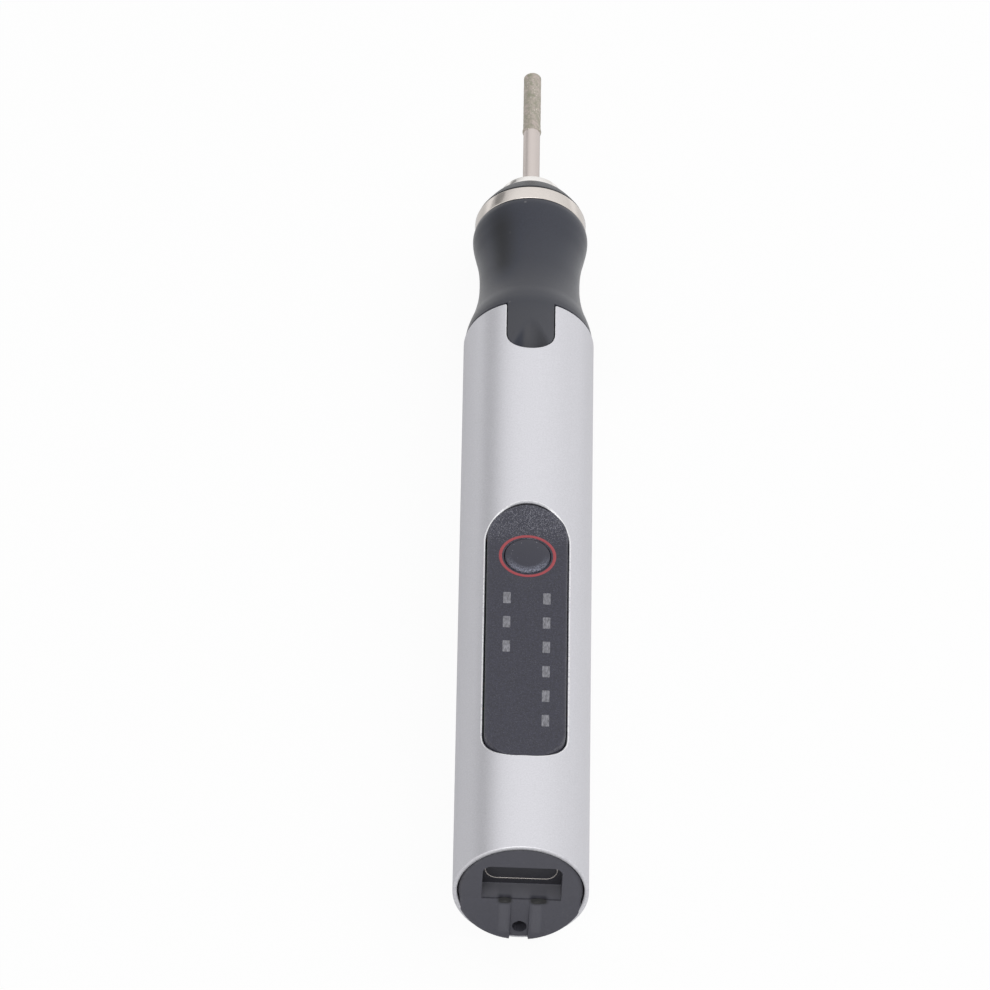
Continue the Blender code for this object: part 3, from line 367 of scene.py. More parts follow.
def tube_shell(sizes):
    """The tube's wall as one closed sheet over (angle, station). Straight rules lead from the window's
    outline to the outline of notch, front rim, bottom seam and rear rim, out on the tube's surface and
    back on its bore, and narrow rings round off every edge between the two."""
    radius, wall, edge = sizes.tube_radius, sizes.tube_wall, sizes.tube_edge
    front, half = station("body_tube", 1), sizes.notch_half
    hole, hole_out = window_half(sizes)
    arc, lip = ways(np.linspace(180, 90, 20)), ways(np.linspace(90, 180, 6))
    side = np.linspace(sizes.notch_rear + half, front - NOTCH_LIP, 6)[1:-1]
    notch = np.concatenate([arc * half + (0, sizes.notch_rear + half), joined(half, side),
                            (half + NOTCH_LIP, front - NOTCH_LIP) - NOTCH_LIP * lip])
    notch_out = np.concatenate([arc, joined(1.0, 0 * side), lip])
    rim = np.linspace(math.asin((half + NOTCH_LIP) / radius), math.pi, 51)[1:]
    seam = np.linspace(front, -REAR_OVERHANG, 18)[1:-1]
    rear = np.linspace(math.pi, 0, 64)
    at_rear = slice(-len(rear), None)

    def window_row(out, deep):
        place, r = hole + out * hole_out, radius - deep
        return joined(np.arcsin(place[:, 0] / r), place[:, 1], r)

    def rim_row(out, deep):
        place, r = notch + out * notch_out, radius - deep
        angle = np.concatenate([np.arcsin(place[:, 0] / r), rim, math.pi + 0 * seam, rear])
        s = np.concatenate([place[:, 1], front - out + 0 * rim, seam, out - REAR_OVERHANG + 0 * rear])
        return joined(angle, s, r)

    def ruled(start, end, count):
        return start + np.linspace(0, 1, count)[:, None, None] * (end - start)

    edges = [window_row(out * edge, deep * edge) for out, deep in ((0, 1), (0.3, 0.3), (1, 0))]
    outer = ruled(window_row(edge + EDGE_STEP, 0), rim_row(RIM_SOFT, 0), 42)
    lips = [rim_row(RIM_MIDDLE, RIM_MIDDLE), rim_row(0, RIM_SOFT), rim_row(0, wall - BORE_SOFT)]
    lips[-1][at_rear, 2] = radius - REAR_FLARE
    seat = rim_row(BORE_SOFT, wall)
    seat[at_rear, 1] = REAR_SEAT
    rows = np.concatenate([edges, outer, lips, ruled(seat, window_row(0, wall), 14)])
    wear, tone = np.zeros(rows.shape[:2]), np.zeros(rows.shape[:2])
    lip_rows = slice(len(edges) + len(outer), len(edges) + len(outer) + len(lips))
    # wear with a painted highlight on the window's edge and the rims, and painted highlight on the window's
    # wall
    wear[:len(edges)] = wear[lip_rows] = 1.0
    wear[lip_rows, at_rear] = REAR_WEAR
    wear[-1] = BORE_PAINTED_HIGHLIGHT
    # painted shade on the window's edge at its front end
    tone[:len(edges) - 1] = FRONT_PAINTED_SHADE * ramp(hole_out[:, 1], 0.75, 0.95)
    whole = both_sides(np.concatenate([rows, joined(wear, tone)], axis=-1))
    angle, s, r, wear, tone = np.moveaxis(whole, -1, 0)
    return wrapped(joined(r * np.sin(angle), s, r * np.cos(angle)), wear=wear, tone=tone)


def panel_shell(sizes):
    """The flat panel as one closed sheet: rules lead from the round button hole to the window's outline
    less the gap, on top and underneath, with a rounded rim and a skirt at the outline. The middle of its
    front end rises on an S curve along and a bell curve across."""
    outline, out = window_half(sizes)
    centre = corners("power_button").mean(axis=0)[1]
    circle = ways(spaced((0, 105, 80), (105, 150, 18), (150, 180, 64)))
    top, foot = sizes.panel_top, corners("control_panel")[0, 2]
    under, hole = top - PANEL_THICKNESS, sizes.button_radius + BUTTON_GAP
    gap = sizes.panel_gap * (1 - FRONT_GAP_SHARE * np.clip(out[:, 1:], 0, 1))

    def hole_row(grow, z):
        return np.insert(circle * (hole + grow) + (0, centre), 2, z, axis=1)

    def edge_row(grow, z):
        return np.insert(outline + (grow - gap) * out, 2, z, axis=1)

    inside = [hole_row(0, under), hole_row(0, top - HOLE_SOFT), hole_row(SOFT_MIDDLE, top - SOFT_MIDDLE)]
    start, end = hole_row(HOLE_SOFT, top), edge_row(-FLAT_REACH, top)
    flat = [start + share * (end - start) for share in np.linspace(0, 1, 11)] + [edge_row(-FLAT_EDGE, top)]
    rim = [edge_row(-PANEL_SOFT, top - SOFT_MIDDLE), edge_row(-SOFT_MIDDLE, top - PANEL_SOFT),
           edge_row(0, top - PANEL_SIDE)]
    skirt = [edge_row(0, foot), edge_row(-PANEL_SKIRT, foot), edge_row(-PANEL_SKIRT, under)]
    points = both_sides(np.stack(inside + flat + rim + skirt))
    rise = eased(points[..., 1], centre + RISE_START, sizes.window_front - RISE_END)
    rise = rise * bell(points[..., 0], 0, RISE_WIDTH)
    points[..., 2] += sizes.panel_rise * rise * (points[..., 2] > top - (PANEL_SIDE + PANEL_THICKNESS) / 2)
    wear = np.zeros(points.shape[:2])
    wear[len(inside + flat):-len(skirt)] = 1.0
    return wrapped(points, wear=wear)


def bar_shell(x, s, half_x, half_s, low, high, corner):
    """A flat bar: its outline is a rectangle with rounded corners, which is drawn in to its middle."""
    way = ways(np.arange(40) * 9.0 + 4.5)
    outline = way * corner + np.sign(way) * (half_x - corner, half_s - corner)
    drawn, z = np.array([(0, low), (1, low), (1, high), (0, high)]).T[..., None]
    points = joined(x + drawn * outline[:, 0], s + drawn * outline[:, 1], z)
    return points, sheet(*points.shape[:2], loop_columns=True)


def stadium_shell(half_x, half_z, height, profile, sides=24):
    """A closed profile of (offset, station) carried round two half circles and two straights."""
    way = ways(np.concatenate([np.linspace(0, 180, sides), np.linspace(180, 360, sides)]))
    middle = np.repeat((1, -1), sides)[:, None] * (half_x - half_z, 0)
    offset, s = profile[:, :1], profile[:, 1:2]
    flat = middle + way * (half_z + offset)[..., None]
    return wrapped(joined(flat[..., 0], s, flat[..., 1] + height))


# ---------------------------------------------------------------- rear cap

# Places across (x) and heights (z) on the cap's rear face, and depths into it
FOLD = -1.55 * MM                                   # height of the fold, with the pads below it
FOLD_ROWS = ((-0.012 * MM, 0.3 * MM), (0.012 * MM, 0.9 * MM))       # height from the fold and depth
FOLD_LIGHT_AND_SHADE = np.array([-0.35, 0.75, 0, 0.95, 1.0])  # painted light and shade on the rows at the fold, from below
FOLD_DENT_SHADE = np.array([0.7, 1.1, 0, 0.25, 0])      # how much painted shade they get in the dents
FACE_RADIUS, PAD_GROWTH = 8.20 * MM, 0.54 * MM
PAD_FOOT, PAD_RISE = -8.4 * MM, 0.9 * MM            # height where the pads stand out the most
GROOVE, GROOVE_HALF, GROOVE_RISE = 0.04 * MM, 1.22 * MM, 0.32 * MM
STRIP, STRIP_HALF, STRIP_RISE = 2.15 * MM, 0.75 * MM, 0.10 * MM     # the strips beside the groove
DENTS = ((-2.0 * MM, 0.7 * MM, 0.85 * MM), (2.45 * MM, 0.85 * MM, 1.05 * MM))     # x, width, and width of the painted shade
DENT_DEPTH = 0.25 * MM
POCKET, POCKET_HALF, POCKET_TOP = 0.125 * MM, 5.225 * MM, 4.6 * MM
POCKET_CORNER, POCKET_DEPTH = 1.2 * MM, 2.7 * MM
HOLE_X, HOLE_Z, HOLE_RADIUS, HOLE_DEPTH = 0.09 * MM, -6.73 * MM, 0.95 * MM, 1.9 * MM
FACE_EDGE = 0.3 * MM                                # rounding of the face's rim
PLUG_RADIUS, PLUG_REACH = 8.0 * MM, 8.45 * MM       # in the bore, and of the face that steps down to it
PLUG_STEP, PAD_STEP = 1.1 * MM, -0.23 * MM          # station of the step, inside the tube and behind it
NEAR = 0.035 * MM                                   # from a sharp edge to the grid line on each side of it
CAP_REACH, CAP_TOP, CAP_STEP = 8.8 * MM, 8.4 * MM, 0.13 * MM        # the grid's ends and its step
# Start, end and step in mm of the closer lines across the groove, the pocket's sides, the hole and its top
FINE_X = ((-0.9, 1.1, 0.065), (-5.3, -3.8, 0.07), (4.1, 5.5, 0.07))
FINE_Z = ((-7.7, -5.8, 0.065), (3.3, 4.8, 0.07))


def grid_lines(low, high, step, edges, fine):
    """Grid lines at one step, closer within each fine span (in mm), and a pair at each sharp edge."""
    sharp = np.concatenate([[edge - NEAR, edge + NEAR] for edge in edges])
    spans = [np.arange(start * MM, end * MM, size * MM) for start, end, size in fine]
    lines = np.unique(np.round(np.concatenate([np.arange(low, high + step, step)] + spans + [sharp]), 8))
    away = np.abs(lines[:, None] - sharp).min(axis=1)
    return lines[(away >= NEAR * 1.9) | (away <= WELD)]


def cap_limit(z):
    """Radius of the cap's rear face, which grows on an S curve on the pads below the fold."""
    return FACE_RADIUS + PAD_GROWTH * eased(FOLD - z, 0, 2.4 * MM)


def cap_relief(x, z):
    """Depth of the cap's rear face: level above the fold, sloping out below it, less a groove down the
    middle, a pocket with rounded upper corners, a round hole, two soft dents and the rim's rounding."""
    below = ramp(FOLD - z, 0, FOLD - PAD_FOOT)
    across = np.abs(x - GROOVE)
    strip = STRIP_RISE * ramp(z, -7.3 * MM, -6.7 * MM) * hump(across, STRIP, STRIP_HALF)
    pads = PAD_RISE * below + strip * (z < FOLD - 0.5 * MM)
    depth = -np.where(across < GROOVE_HALF, GROOVE_RISE * below, pads)
    dents = sum(bell(x, at, wide) * bell(z, FOLD, 0.55 * MM) for at, wide, _ in DENTS)
    depth += DENT_DEPTH * dents * (z < FOLD)
    # the pocket: distance to a rectangle whose upper corners are rounded
    aside = np.abs(x - POCKET)
    dx, dz = aside - (POCKET_HALF - POCKET_CORNER), z - (POCKET_TOP - POCKET_CORNER)
    inside = (np.hypot(np.maximum(dx, 0), np.maximum(dz, 0)) < POCKET_CORNER) | (dz < 0)
    depth = np.where(inside & (aside < POCKET_HALF) & (z > FOLD), POCKET_DEPTH, depth)
    for rise, deep in FOLD_ROWS:
        depth = np.where((aside < POCKET_HALF) & (np.abs(z - FOLD - rise) < 0.002 * MM), deep, depth)
    depth = np.where(np.hypot(x - HOLE_X, z - HOLE_Z) < HOLE_RADIUS, HOLE_DEPTH, depth)
    limit = cap_limit(z)
    edge = ramp(np.hypot(x, z), limit - FACE_EDGE, limit)
    return depth + FACE_EDGE * (1 - np.sqrt(1 - edge * edge * 0.998))


def cap_painted_light_and_shade(x, z, depth, pulled):
    """Painted shade and light over the cap's face: painted shade in the pocket, the dents, the hole and at
    the upper rim, and painted light on the fold and on the strips beside the groove."""
    # painted shade in the two dents at the fold
    dents = sum(bell(x, at, wide, 4) * bell(z, FOLD - 0.12 * MM, 0.62 * MM, 4) for at, _, wide in DENTS)
    dents = np.clip(1.5 * dents, 0, 1)
    # painted light on the strips beside the groove
    strip_painted_light = hump(np.abs(x - GROOVE), STRIP, STRIP_HALF) * ramp(z, -7.6 * MM, -7.0 * MM)
    tone = 0.16 * strip_painted_light * (z < FOLD - 0.6 * MM) - 1.3 * dents
    # painted light and shade on the rows at the fold, with more painted shade in the dents
    rows = np.clip(np.round((z - FOLD) / (0.0155 * MM)), -2, 2).astype(int) + 2
    at_fold = (np.abs(z - FOLD) < 0.06 * MM) & (np.abs(x - POCKET) < POCKET_HALF + 0.025 * MM)
    tone = np.where(at_fold, FOLD_LIGHT_AND_SHADE[rows] - FOLD_DENT_SHADE[rows] * dents, tone)
    # painted shade in the hole
    tone = np.where(np.hypot(x - HOLE_X, z - HOLE_Z) < HOLE_RADIUS - 0.01 * MM, -0.5, tone)
    # painted shade on the pocket's back wall
    tone = np.where((depth > POCKET_DEPTH - 0.1 * MM) & (z > FOLD + 0.06 * MM), -0.6, tone)
    # painted shade growing towards the face's rim above the fold
    rim = ramp(np.hypot(x, z), cap_limit(z) - 0.55 * MM, cap_limit(z))
    tone = np.where((z > FOLD) & (tone > -0.3), tone - 0.3 * rim * rim, tone)
    # painted shade in the gap at the rim, where the face is drawn in to its limit
    return np.where(pulled & (z > FOLD - 1.0 * MM), -0.9, tone)


def cap_shell():
    """The cap as a relief over a grid in x and z, drawn in to its round limit, with a side wall from each
    outer edge of the relief and a closed front."""
    sides = (POCKET - POCKET_HALF, POCKET + POCKET_HALF, GROOVE - GROOVE_HALF, GROOVE + GROOVE_HALF)
    xs = grid_lines(-CAP_REACH, CAP_REACH, CAP_STEP, sides, FINE_X)
    zs = grid_lines(-CAP_REACH, CAP_TOP, CAP_STEP, (FOLD, POCKET_TOP), FINE_Z)
    zs = np.sort(np.append(zs, [FOLD + rise for rise, _ in FOLD_ROWS]))
    x, z = np.meshgrid(xs, zs, indexing="ij")
    pull = np.minimum(cap_limit(z) / np.maximum(np.hypot(x, z), TINY), 1.0)
    x, z = x * pull, z * pull
    quads = sheet(*x.shape)
    quads = quads[(pull.ravel()[quads] == 1).any(axis=1)]
    depth = cap_relief(x, z)
    face = joined(x, depth, z).reshape(-1, 3)
    count, reach = len(face), np.hypot(x, z).ravel()
    # each edge that only one quad has carries the side wall
    a, b = quads.ravel(), np.roll(quads, -1, axis=1).ravel()
    rim = ~np.isin(a * count + b, b * count + a)
    a, b = a[rim], b[rim]
    ledge = face.copy()
    ledge[:, 1] = np.maximum(face[:, 1], np.where(reach < PLUG_REACH, PLUG_STEP, PAD_STEP))
    plug = PLUG_RADIUS / np.maximum(reach, TINY)
    step = ledge * joined(plug, 1.0, plug)
    front = step.copy()
    front[:, 1] = station("rear_cap", 1)
    points = np.concatenate([face, ledge, step, front, [[0, station("rear_cap", 1), 0]]])
    walls = [np.stack([b + k * count, a + k * count, a + (k + 1) * count, b + (k + 1) * count], axis=1)
             for k in range(3)]
    cover = joined(b + 3 * count, a + 3 * count, 4 * count, 4 * count)
    worn_and_glint = ramp(np.hypot(x, z), cap_limit(z) - 0.5 * MM, cap_limit(z) - 0.1 * MM)
    worn_and_glint = worn_and_glint * np.clip(0.6 - x / (9 * MM) + z / (14 * MM), 0, 1)      # most at the upper left
    wear = np.concatenate([worn_and_glint.ravel(), np.zeros(3 * count + 1)])
    # painted shade and light over the face, and painted shade on its side walls above the fold
    tone = cap_painted_light_and_shade(x, z, depth, pull < 1).ravel()
    tone = np.concatenate([tone, np.minimum(tone, 0) - 0.5 * (face[:, 2] > FOLD), np.zeros(2 * count + 1)])
    return points, np.concatenate([quads] + walls + [cover]), {"wear": wear, "tone": tone}


# ---------------------------------------------------------------- grip and bur

# Station and radius of the grip's outer line, in mm
GRIP_KNOTS = [(101.0, 8.86), (102.0, 8.74), (103.05, 8.50), (105.3, 7.82), (107.55, 7.33), (109.8, 7.04),
              (112.05, 6.96), (114.3, 7.02), (116.55, 7.26), (118.8, 7.70), (120.5, 7.98), (121.3, 8.0),
              (122.0, 7.86)]
# Station and painted light along the grip, and how strongly the painted shade on the bulge's left side shows
GRIP_PAINTED_LIGHT = ((95.0, 0.72), (99.0, 0.62), (101.0, 0.40), (103.0, 0.40), (106.0, 0.48), (112.0, 0.20),
              (118.0, 0.09))
GRIP_PAINTED_SHADE = ((106.0, 0), (111.0, 1), (118.0, 1), (121.0, 0.4))
GRIP_SOFT = 0.12 * MM                               # rounding of the grip's rear edge
SPIGOT_REAR, SPIGOT_FRONT = 89.0 * MM, 98.3 * MM    # stations of the part inside the tube
SPIGOT_RADIUS, SHOULDER_RADIUS = 5.9 * MM, 8.0 * MM
MOTOR_BORE, NOSE_BORE, BORE_STEP = 3.4 * MM, 5.52 * MM, 97.1 * MM
TONGUE_FOOT, TONGUE_FOOT_HALF, TONGUE_UNDER = 7.95 * MM, 5.6 * MM, 4.5 * MM
SCOOP_REAR = 8.85 * MM                              # from the scoop's rear end to the tube's front end
SCOOP_SOFT, SCOOP_BEND = 0.45 * MM, 0.7 * MM        # how softly it meets the top, and its floor its sides
TONGUE_SOFT = 0.1 * MM                              # rounding of the tongue's edge
HEAD_LENGTH = 11.45 * MM
GRAIN_SEED, PATCH_SEED = 7, 11


def grip_profile():
    """Outer line of the grip: a cubic through measured stations, with the inner line behind it."""
    knots = np.array(GRIP_KNOTS) * MM
    s = np.linspace(knots[0, 0], knots[-1, 0], 90)
    r = through(s, knots)
    shoulder = [(s[0], SHOULDER_RADIUS), (s[0], r[0] - GRIP_SOFT), (s[0] + SOFT_MIDDLE, r[0] - SOFT_MIDDLE)]
    r[0] = through(s[:1] + GRIP_SOFT, knots)[0]
    s[0] += GRIP_SOFT
    end = s[-1] + 0.04 * MM
    inner = [(end, r[-1] - 0.1 * MM), (end, NOSE_BORE), (BORE_STEP, NOSE_BORE), (BORE_STEP, MOTOR_BORE),
             (SPIGOT_REAR, MOTOR_BORE), (SPIGOT_REAR, SPIGOT_RADIUS), (SPIGOT_FRONT, SPIGOT_RADIUS),
             (SPIGOT_FRONT, SHOULDER_RADIUS)]
    return np.concatenate([shoulder, joined(s, r), inner])


def grip_painted_light_and_shade(s, angle):
    """Painted light and shade on the grip, along and round the pen: painted light at the tongue and the
    waist's rear, and painted shade on the bulge's upper left."""
    along, dark = (np.interp(s / MM, *zip(*table)) for table in (GRIP_PAINTED_LIGHT, GRIP_PAINTED_SHADE))
    return along - 1.05 * dark * bell(angle, -0.60, 0.27)


def tongue_shell(sizes):
    """The tongue over (station, share across). Each row runs along the spigot, up or down the tongue's side
    and over its top to the middle. The top is the lower of the round tongue and the scoop, blended where
    they meet, and the scoop is a flat ramp that falls to the rear with a side that slopes up at each edge."""
    knots, half, foot_half = np.array(GRIP_KNOTS) * MM, sizes.tongue_half, TONGUE_FOOT_HALF
    neck, high = knots[0]
    base = station("body_tube", 1) - SCOOP_REAR
    round_centre, mouth = sizes.notch_rear + sizes.notch_half, base + sizes.scoop_length
    s = np.concatenate([[SPIGOT_REAR, base], round_centre - half * ways(np.linspace(0, 90, 48))[:, 1],
                        spaced((round_centre, mouth, 24), (mouth, neck, 14))[1:],
                        [neck + 0.3 * MM, neck + 0.6 * MM]])
    s = np.unique(np.round(s, 9))[:, None]
    behind = np.clip(round_centre - s, 0, half)
    w = np.sqrt(half ** 2 - behind ** 2)
    top = np.where(s > neck, through(np.clip(s, neck, None), knots) + 0.012 * MM, high)

    def arch(x, r):
        return np.sqrt(np.maximum(r * r - x * x, 0))

    def cover(x):
        out = np.abs(x) - sizes.scoop_floor
        side = (out + np.sqrt(out * out + SCOOP_BEND ** 2)) / 2
        floor = high - sizes.scoop_depth * (mouth - s) / sizes.scoop_length + sizes.scoop_slope * side
        part = ramp(arch(x, top) - floor, -SCOOP_SOFT, SCOOP_SOFT)
        return arch(x, top) * (1 - part) + floor * part - SCOOP_SOFT * part * (1 - part)

    easing = np.minimum(TONGUE_SOFT, w / 2)
    x_foot = foot_half + (w - foot_half) * np.linspace(0, 1, 6)
    foot, edge = arch(w, TONGUE_FOOT), np.where(w > 0, cover(w - easing), TONGUE_FOOT)
    rise = np.maximum(edge - foot, 0)
    x_wall = np.concatenate([w, w - 0.3 * easing], axis=1)
    z_wall = np.where(edge > foot, foot + np.maximum(rise - easing * (1, 0.3), 0), edge)
    x_top = (w - easing) * np.linspace(1, 0, 30)
    z_top = np.where(w > 0, cover(x_top), TONGUE_FOOT)
    x_half = np.concatenate([x_foot, x_wall, x_top], axis=1)
    z_half = np.concatenate([arch(x_foot, TONGUE_FOOT), z_wall, z_top], axis=1)
    under = np.broadcast_to((-foot_half, foot_half), (len(s), 2))
    x = np.concatenate([x_half, -x_half[:, -2::-1], under], axis=1)
    z = np.concatenate([z_half, z_half[:, -2::-1], 0 * under + TONGUE_UNDER], axis=1)
    points = joined(x, s, z)
    first, last = (0 * row + row.mean(axis=1, keepdims=True) for row in (points[:1], points[-1:]))
    points = np.concatenate([first, points, last])
    # tone: painted light along the tongue, painted shade on the scoop's left wall, and painted light over its
    # floor and right side
    x, s, z = np.moveaxis(points, -1, 0)
    scoop_light_and_shade_mask = ramp(arch(x, high) - z, 0, 0.5 * MM) * (z > 5.0 * MM) * (s < mouth + 0.5 * MM) * (np.abs(x) < half)
    tone = grip_painted_light_and_shade(s, 0) + scoop_light_and_shade_mask * np.where(x < 0, 0.25 - bell(x, -1.75 * MM, 0.85 * MM, 4), 0.12)
    return points, sheet(*points.shape[:2], loop_columns=True), {"tone": tone}


def bur_shells(sizes):
    """Shank and head, turned. On the head each radius gains a smoothed random height, for the grit."""
    held, front = corners("diamond_bur")[:, 1]
    neck, shank_r, head_r, bend = front - HEAD_LENGTH, sizes.shank_radius, sizes.head_radius, 0.3 * MM
    shank_end = neck + 0.3 * MM
    shank = rounded([(held, 0, 0), (held, shank_r, 0.2 * MM), (shank_end, shank_r, 0), (shank_end, 0, 0)])
    body = np.linspace(neck + 0.2 * MM, front - 0.35 * MM, 120)
    lip = 0.10 * MM * bell(body, neck + 0.5 * MM, 0.35 * MM)
    line = np.concatenate([[(neck, 0), (neck, head_r - 0.1 * MM), (neck + 0.05 * MM, head_r)],
                           joined(body, head_r + lip),
                           (front - bend, head_r - bend) + bend * ways(np.linspace(0, 90, 10)),
                           joined(front, np.linspace(head_r - bend, 0, 8)[1:])])
    points, quads = turned(line, 96)
    grains = np.random.default_rng(GRAIN_SEED).random(points.shape[:2]) ** 2
    soft = grains + 0.5 * (np.roll(grains, 1, axis=1) + np.roll(grains, -1, axis=1))
    soft = (soft + 0.5 * (np.roll(soft, 1, axis=0) + np.roll(soft, -1, axis=0))) / 4
    reach = np.hypot(points[..., 0], points[..., 2])
    height = sizes.grit * (soft - 0.7) * (reach > 0.3 * MM) * (np.arange(len(line)) > 1)[:, None]
    share = 1 + height / np.maximum(reach, TINY)
    points *= joined(share, 1.0, share)
    patches = np.random.default_rng(PATCH_SEED).random(points.shape[:2]) - 0.5
    for step in (1, 2, 3, 1):
        patches = patches + np.roll(patches, step, axis=1) + np.roll(patches, step, axis=0)
    patches = patches / np.abs(patches).max() * 1.3
    return turned(shank, 64), (points, quads, {"tone": patches})


# ---------------------------------------------------------------- finishes

def add_node(tree, kind, inputs=None, **settings):
    """A node with its settings made and its inputs set or linked. Inputs go by name or number."""
    made = tree.nodes.new(kind)
    for name, value in settings.items():
        setattr(made, name, value)
    for name, value in (inputs or {}).items():
        if isinstance(value, bpy.types.NodeSocket):
            tree.links.new(value, made.inputs[name])
        else:
            made.inputs[name].default_value = value
    return made


def worked(tree, operation, *values, clamp=False):
    """A value worked out from others."""
    made = add_node(tree, "ShaderNodeMath", dict(enumerate(values)), operation=operation, use_clamp=clamp)
    return made.outputs[0]


def mapped(tree, value, low=0.0, high=1.0, start=0.0, end=1.0, curve="LINEAR"):
    """A value moved from the range low to high to the range start to end, and held outside it."""
    span = {"Value": value, "From Min": low, "From Max": high, "To Min": start, "To Max": end}
    return add_node(tree, "ShaderNodeMapRange", span, interpolation_type=curve).outputs[0]


def mixed(tree, share, first, second):
    """A number that goes from the first to the second with the share."""
    return add_node(tree, "ShaderNodeMix", {0: share, 2: first, 3: second}).outputs[0]


def blended(tree, share, first, second):
    """A colour that goes from the first to the second with the share."""
    return add_node(tree, "ShaderNodeMix", {0: share, 6: first, 7: second}, data_type="RGBA").outputs[2]


def noise(tree, position, size, detail, roughness, low, high):
    """Noise of a given size in metres, whose levels from low to high are spread over nought to one."""
    scale = worked(tree, "DIVIDE", 1.0, size)
    level = add_node(tree, "ShaderNodeTexNoise", {"Vector": position, "Scale": scale, "Detail": detail,
                                                  "Roughness": roughness}).outputs["Fac"]
    return mapped(tree, level, low, high)


def new_group(name, inputs, output):
    """An empty shader node group with named sockets, its inputs, and a function that links its output."""
    tree = bpy.data.node_groups.new(name, "ShaderNodeTree")
    for label, kind in inputs.items():
        tree.interface.new_socket(name=label, in_out="INPUT", socket_type="NodeSocket" + kind)
    tree.interface.new_socket(name=output[0], in_out="OUTPUT", socket_type="NodeSocket" + output[1])
    given, out = tree.nodes.new("NodeGroupInput").outputs, tree.nodes.new("NodeGroupOutput").inputs
    return tree, given, lambda value: tree.links.new(value, out[0])


def grain_group():
    """Grain: soft noise of a given size in metres, spread evenly about a half."""
    tree, given, give = new_group("Grain", {"Position": "Vector", "Size": "Float"}, ("Value", "Float"))
    give(noise(tree, given["Position"], given["Size"], 3.0, 0.6, 0.3, 0.7))
    return tree


def fleck_group():
    """Flecks: a share of small cells, each with a round mask of its own brightness."""
    tree, given, give = new_group("Flecks", {"Position": "Vector", "Size": "Float", "Share": "Float"},
                                  ("Mask", "Float"))
    scale = worked(tree, "DIVIDE", 1.0, given["Size"])
    cells = add_node(tree, "ShaderNodeTexVoronoi", {"Vector": given["Position"], "Scale": scale}).outputs
    parts = add_node(tree, "ShaderNodeSeparateColor", {0: cells["Color"]}).outputs
    chosen = worked(tree, "LESS_THAN", parts[0], given["Share"])
    spot = mapped(tree, cells["Distance"], 0.2, 0.5, 1.0, 0.0)
    give(worked(tree, "MULTIPLY", worked(tree, "MULTIPLY", chosen, spot), parts[1]))
    return tree


def wear_group():
    """Wear and highlight: the piece's own marks of wear and of painted highlight, broken up by noise of a
    given size.
    """
    sockets = {"Marks": "Float", "Position": "Vector", "Size": "Float", "Amount": "Float"}
    tree, given, give = new_group("Wear and highlight", sockets, ("Mask", "Float"))
    patch = noise(tree, given["Position"], given["Size"], 5.0, 0.7, 0.42, 0.62)
    patch = worked(tree, "MULTIPLY", patch, given["Marks"])
    give(worked(tree, "MULTIPLY", patch, given["Amount"], clamp=True))
    return tree


def tone_and_painted_light_group():
    """Tone and painted light: a colour moved to a dark one where the marks are below nought, and to a light
    one above it. On most pieces the marks are painted shade and painted light.
    """
    sockets = {"Marks": "Float", "Color": "Color", "Dark": "Color", "Light": "Color"}
    tree, given, give = new_group("Tone and painted light", sockets, ("Color", "Color"))
    below, above = (worked(tree, "MULTIPLY", given["Marks"], sign, clamp=True) for sign in (-1.0, 1.0))
    give(blended(tree, above, blended(tree, below, given["Color"], given["Dark"]), given["Light"]))
    return tree


SHARED_GROUPS = {"Grain": grain_group, "Flecks": fleck_group, "Wear and highlight": wear_group, "Tone and painted light": tone_and_painted_light_group}


def shared(tree, name, inputs):
    """Output of one of the shared groups, which is built the first time that it is asked for."""
    group = bpy.data.node_groups.get(name) or SHARED_GROUPS[name]()
    return add_node(tree, "ShaderNodeGroup", inputs, node_tree=group).outputs[0]


def shade(colour, share=1.0):
    """A colour made darker or lighter by a share, with its alpha."""
    return tuple(min(1.0, part * share) for part in colour) + (1.0,)


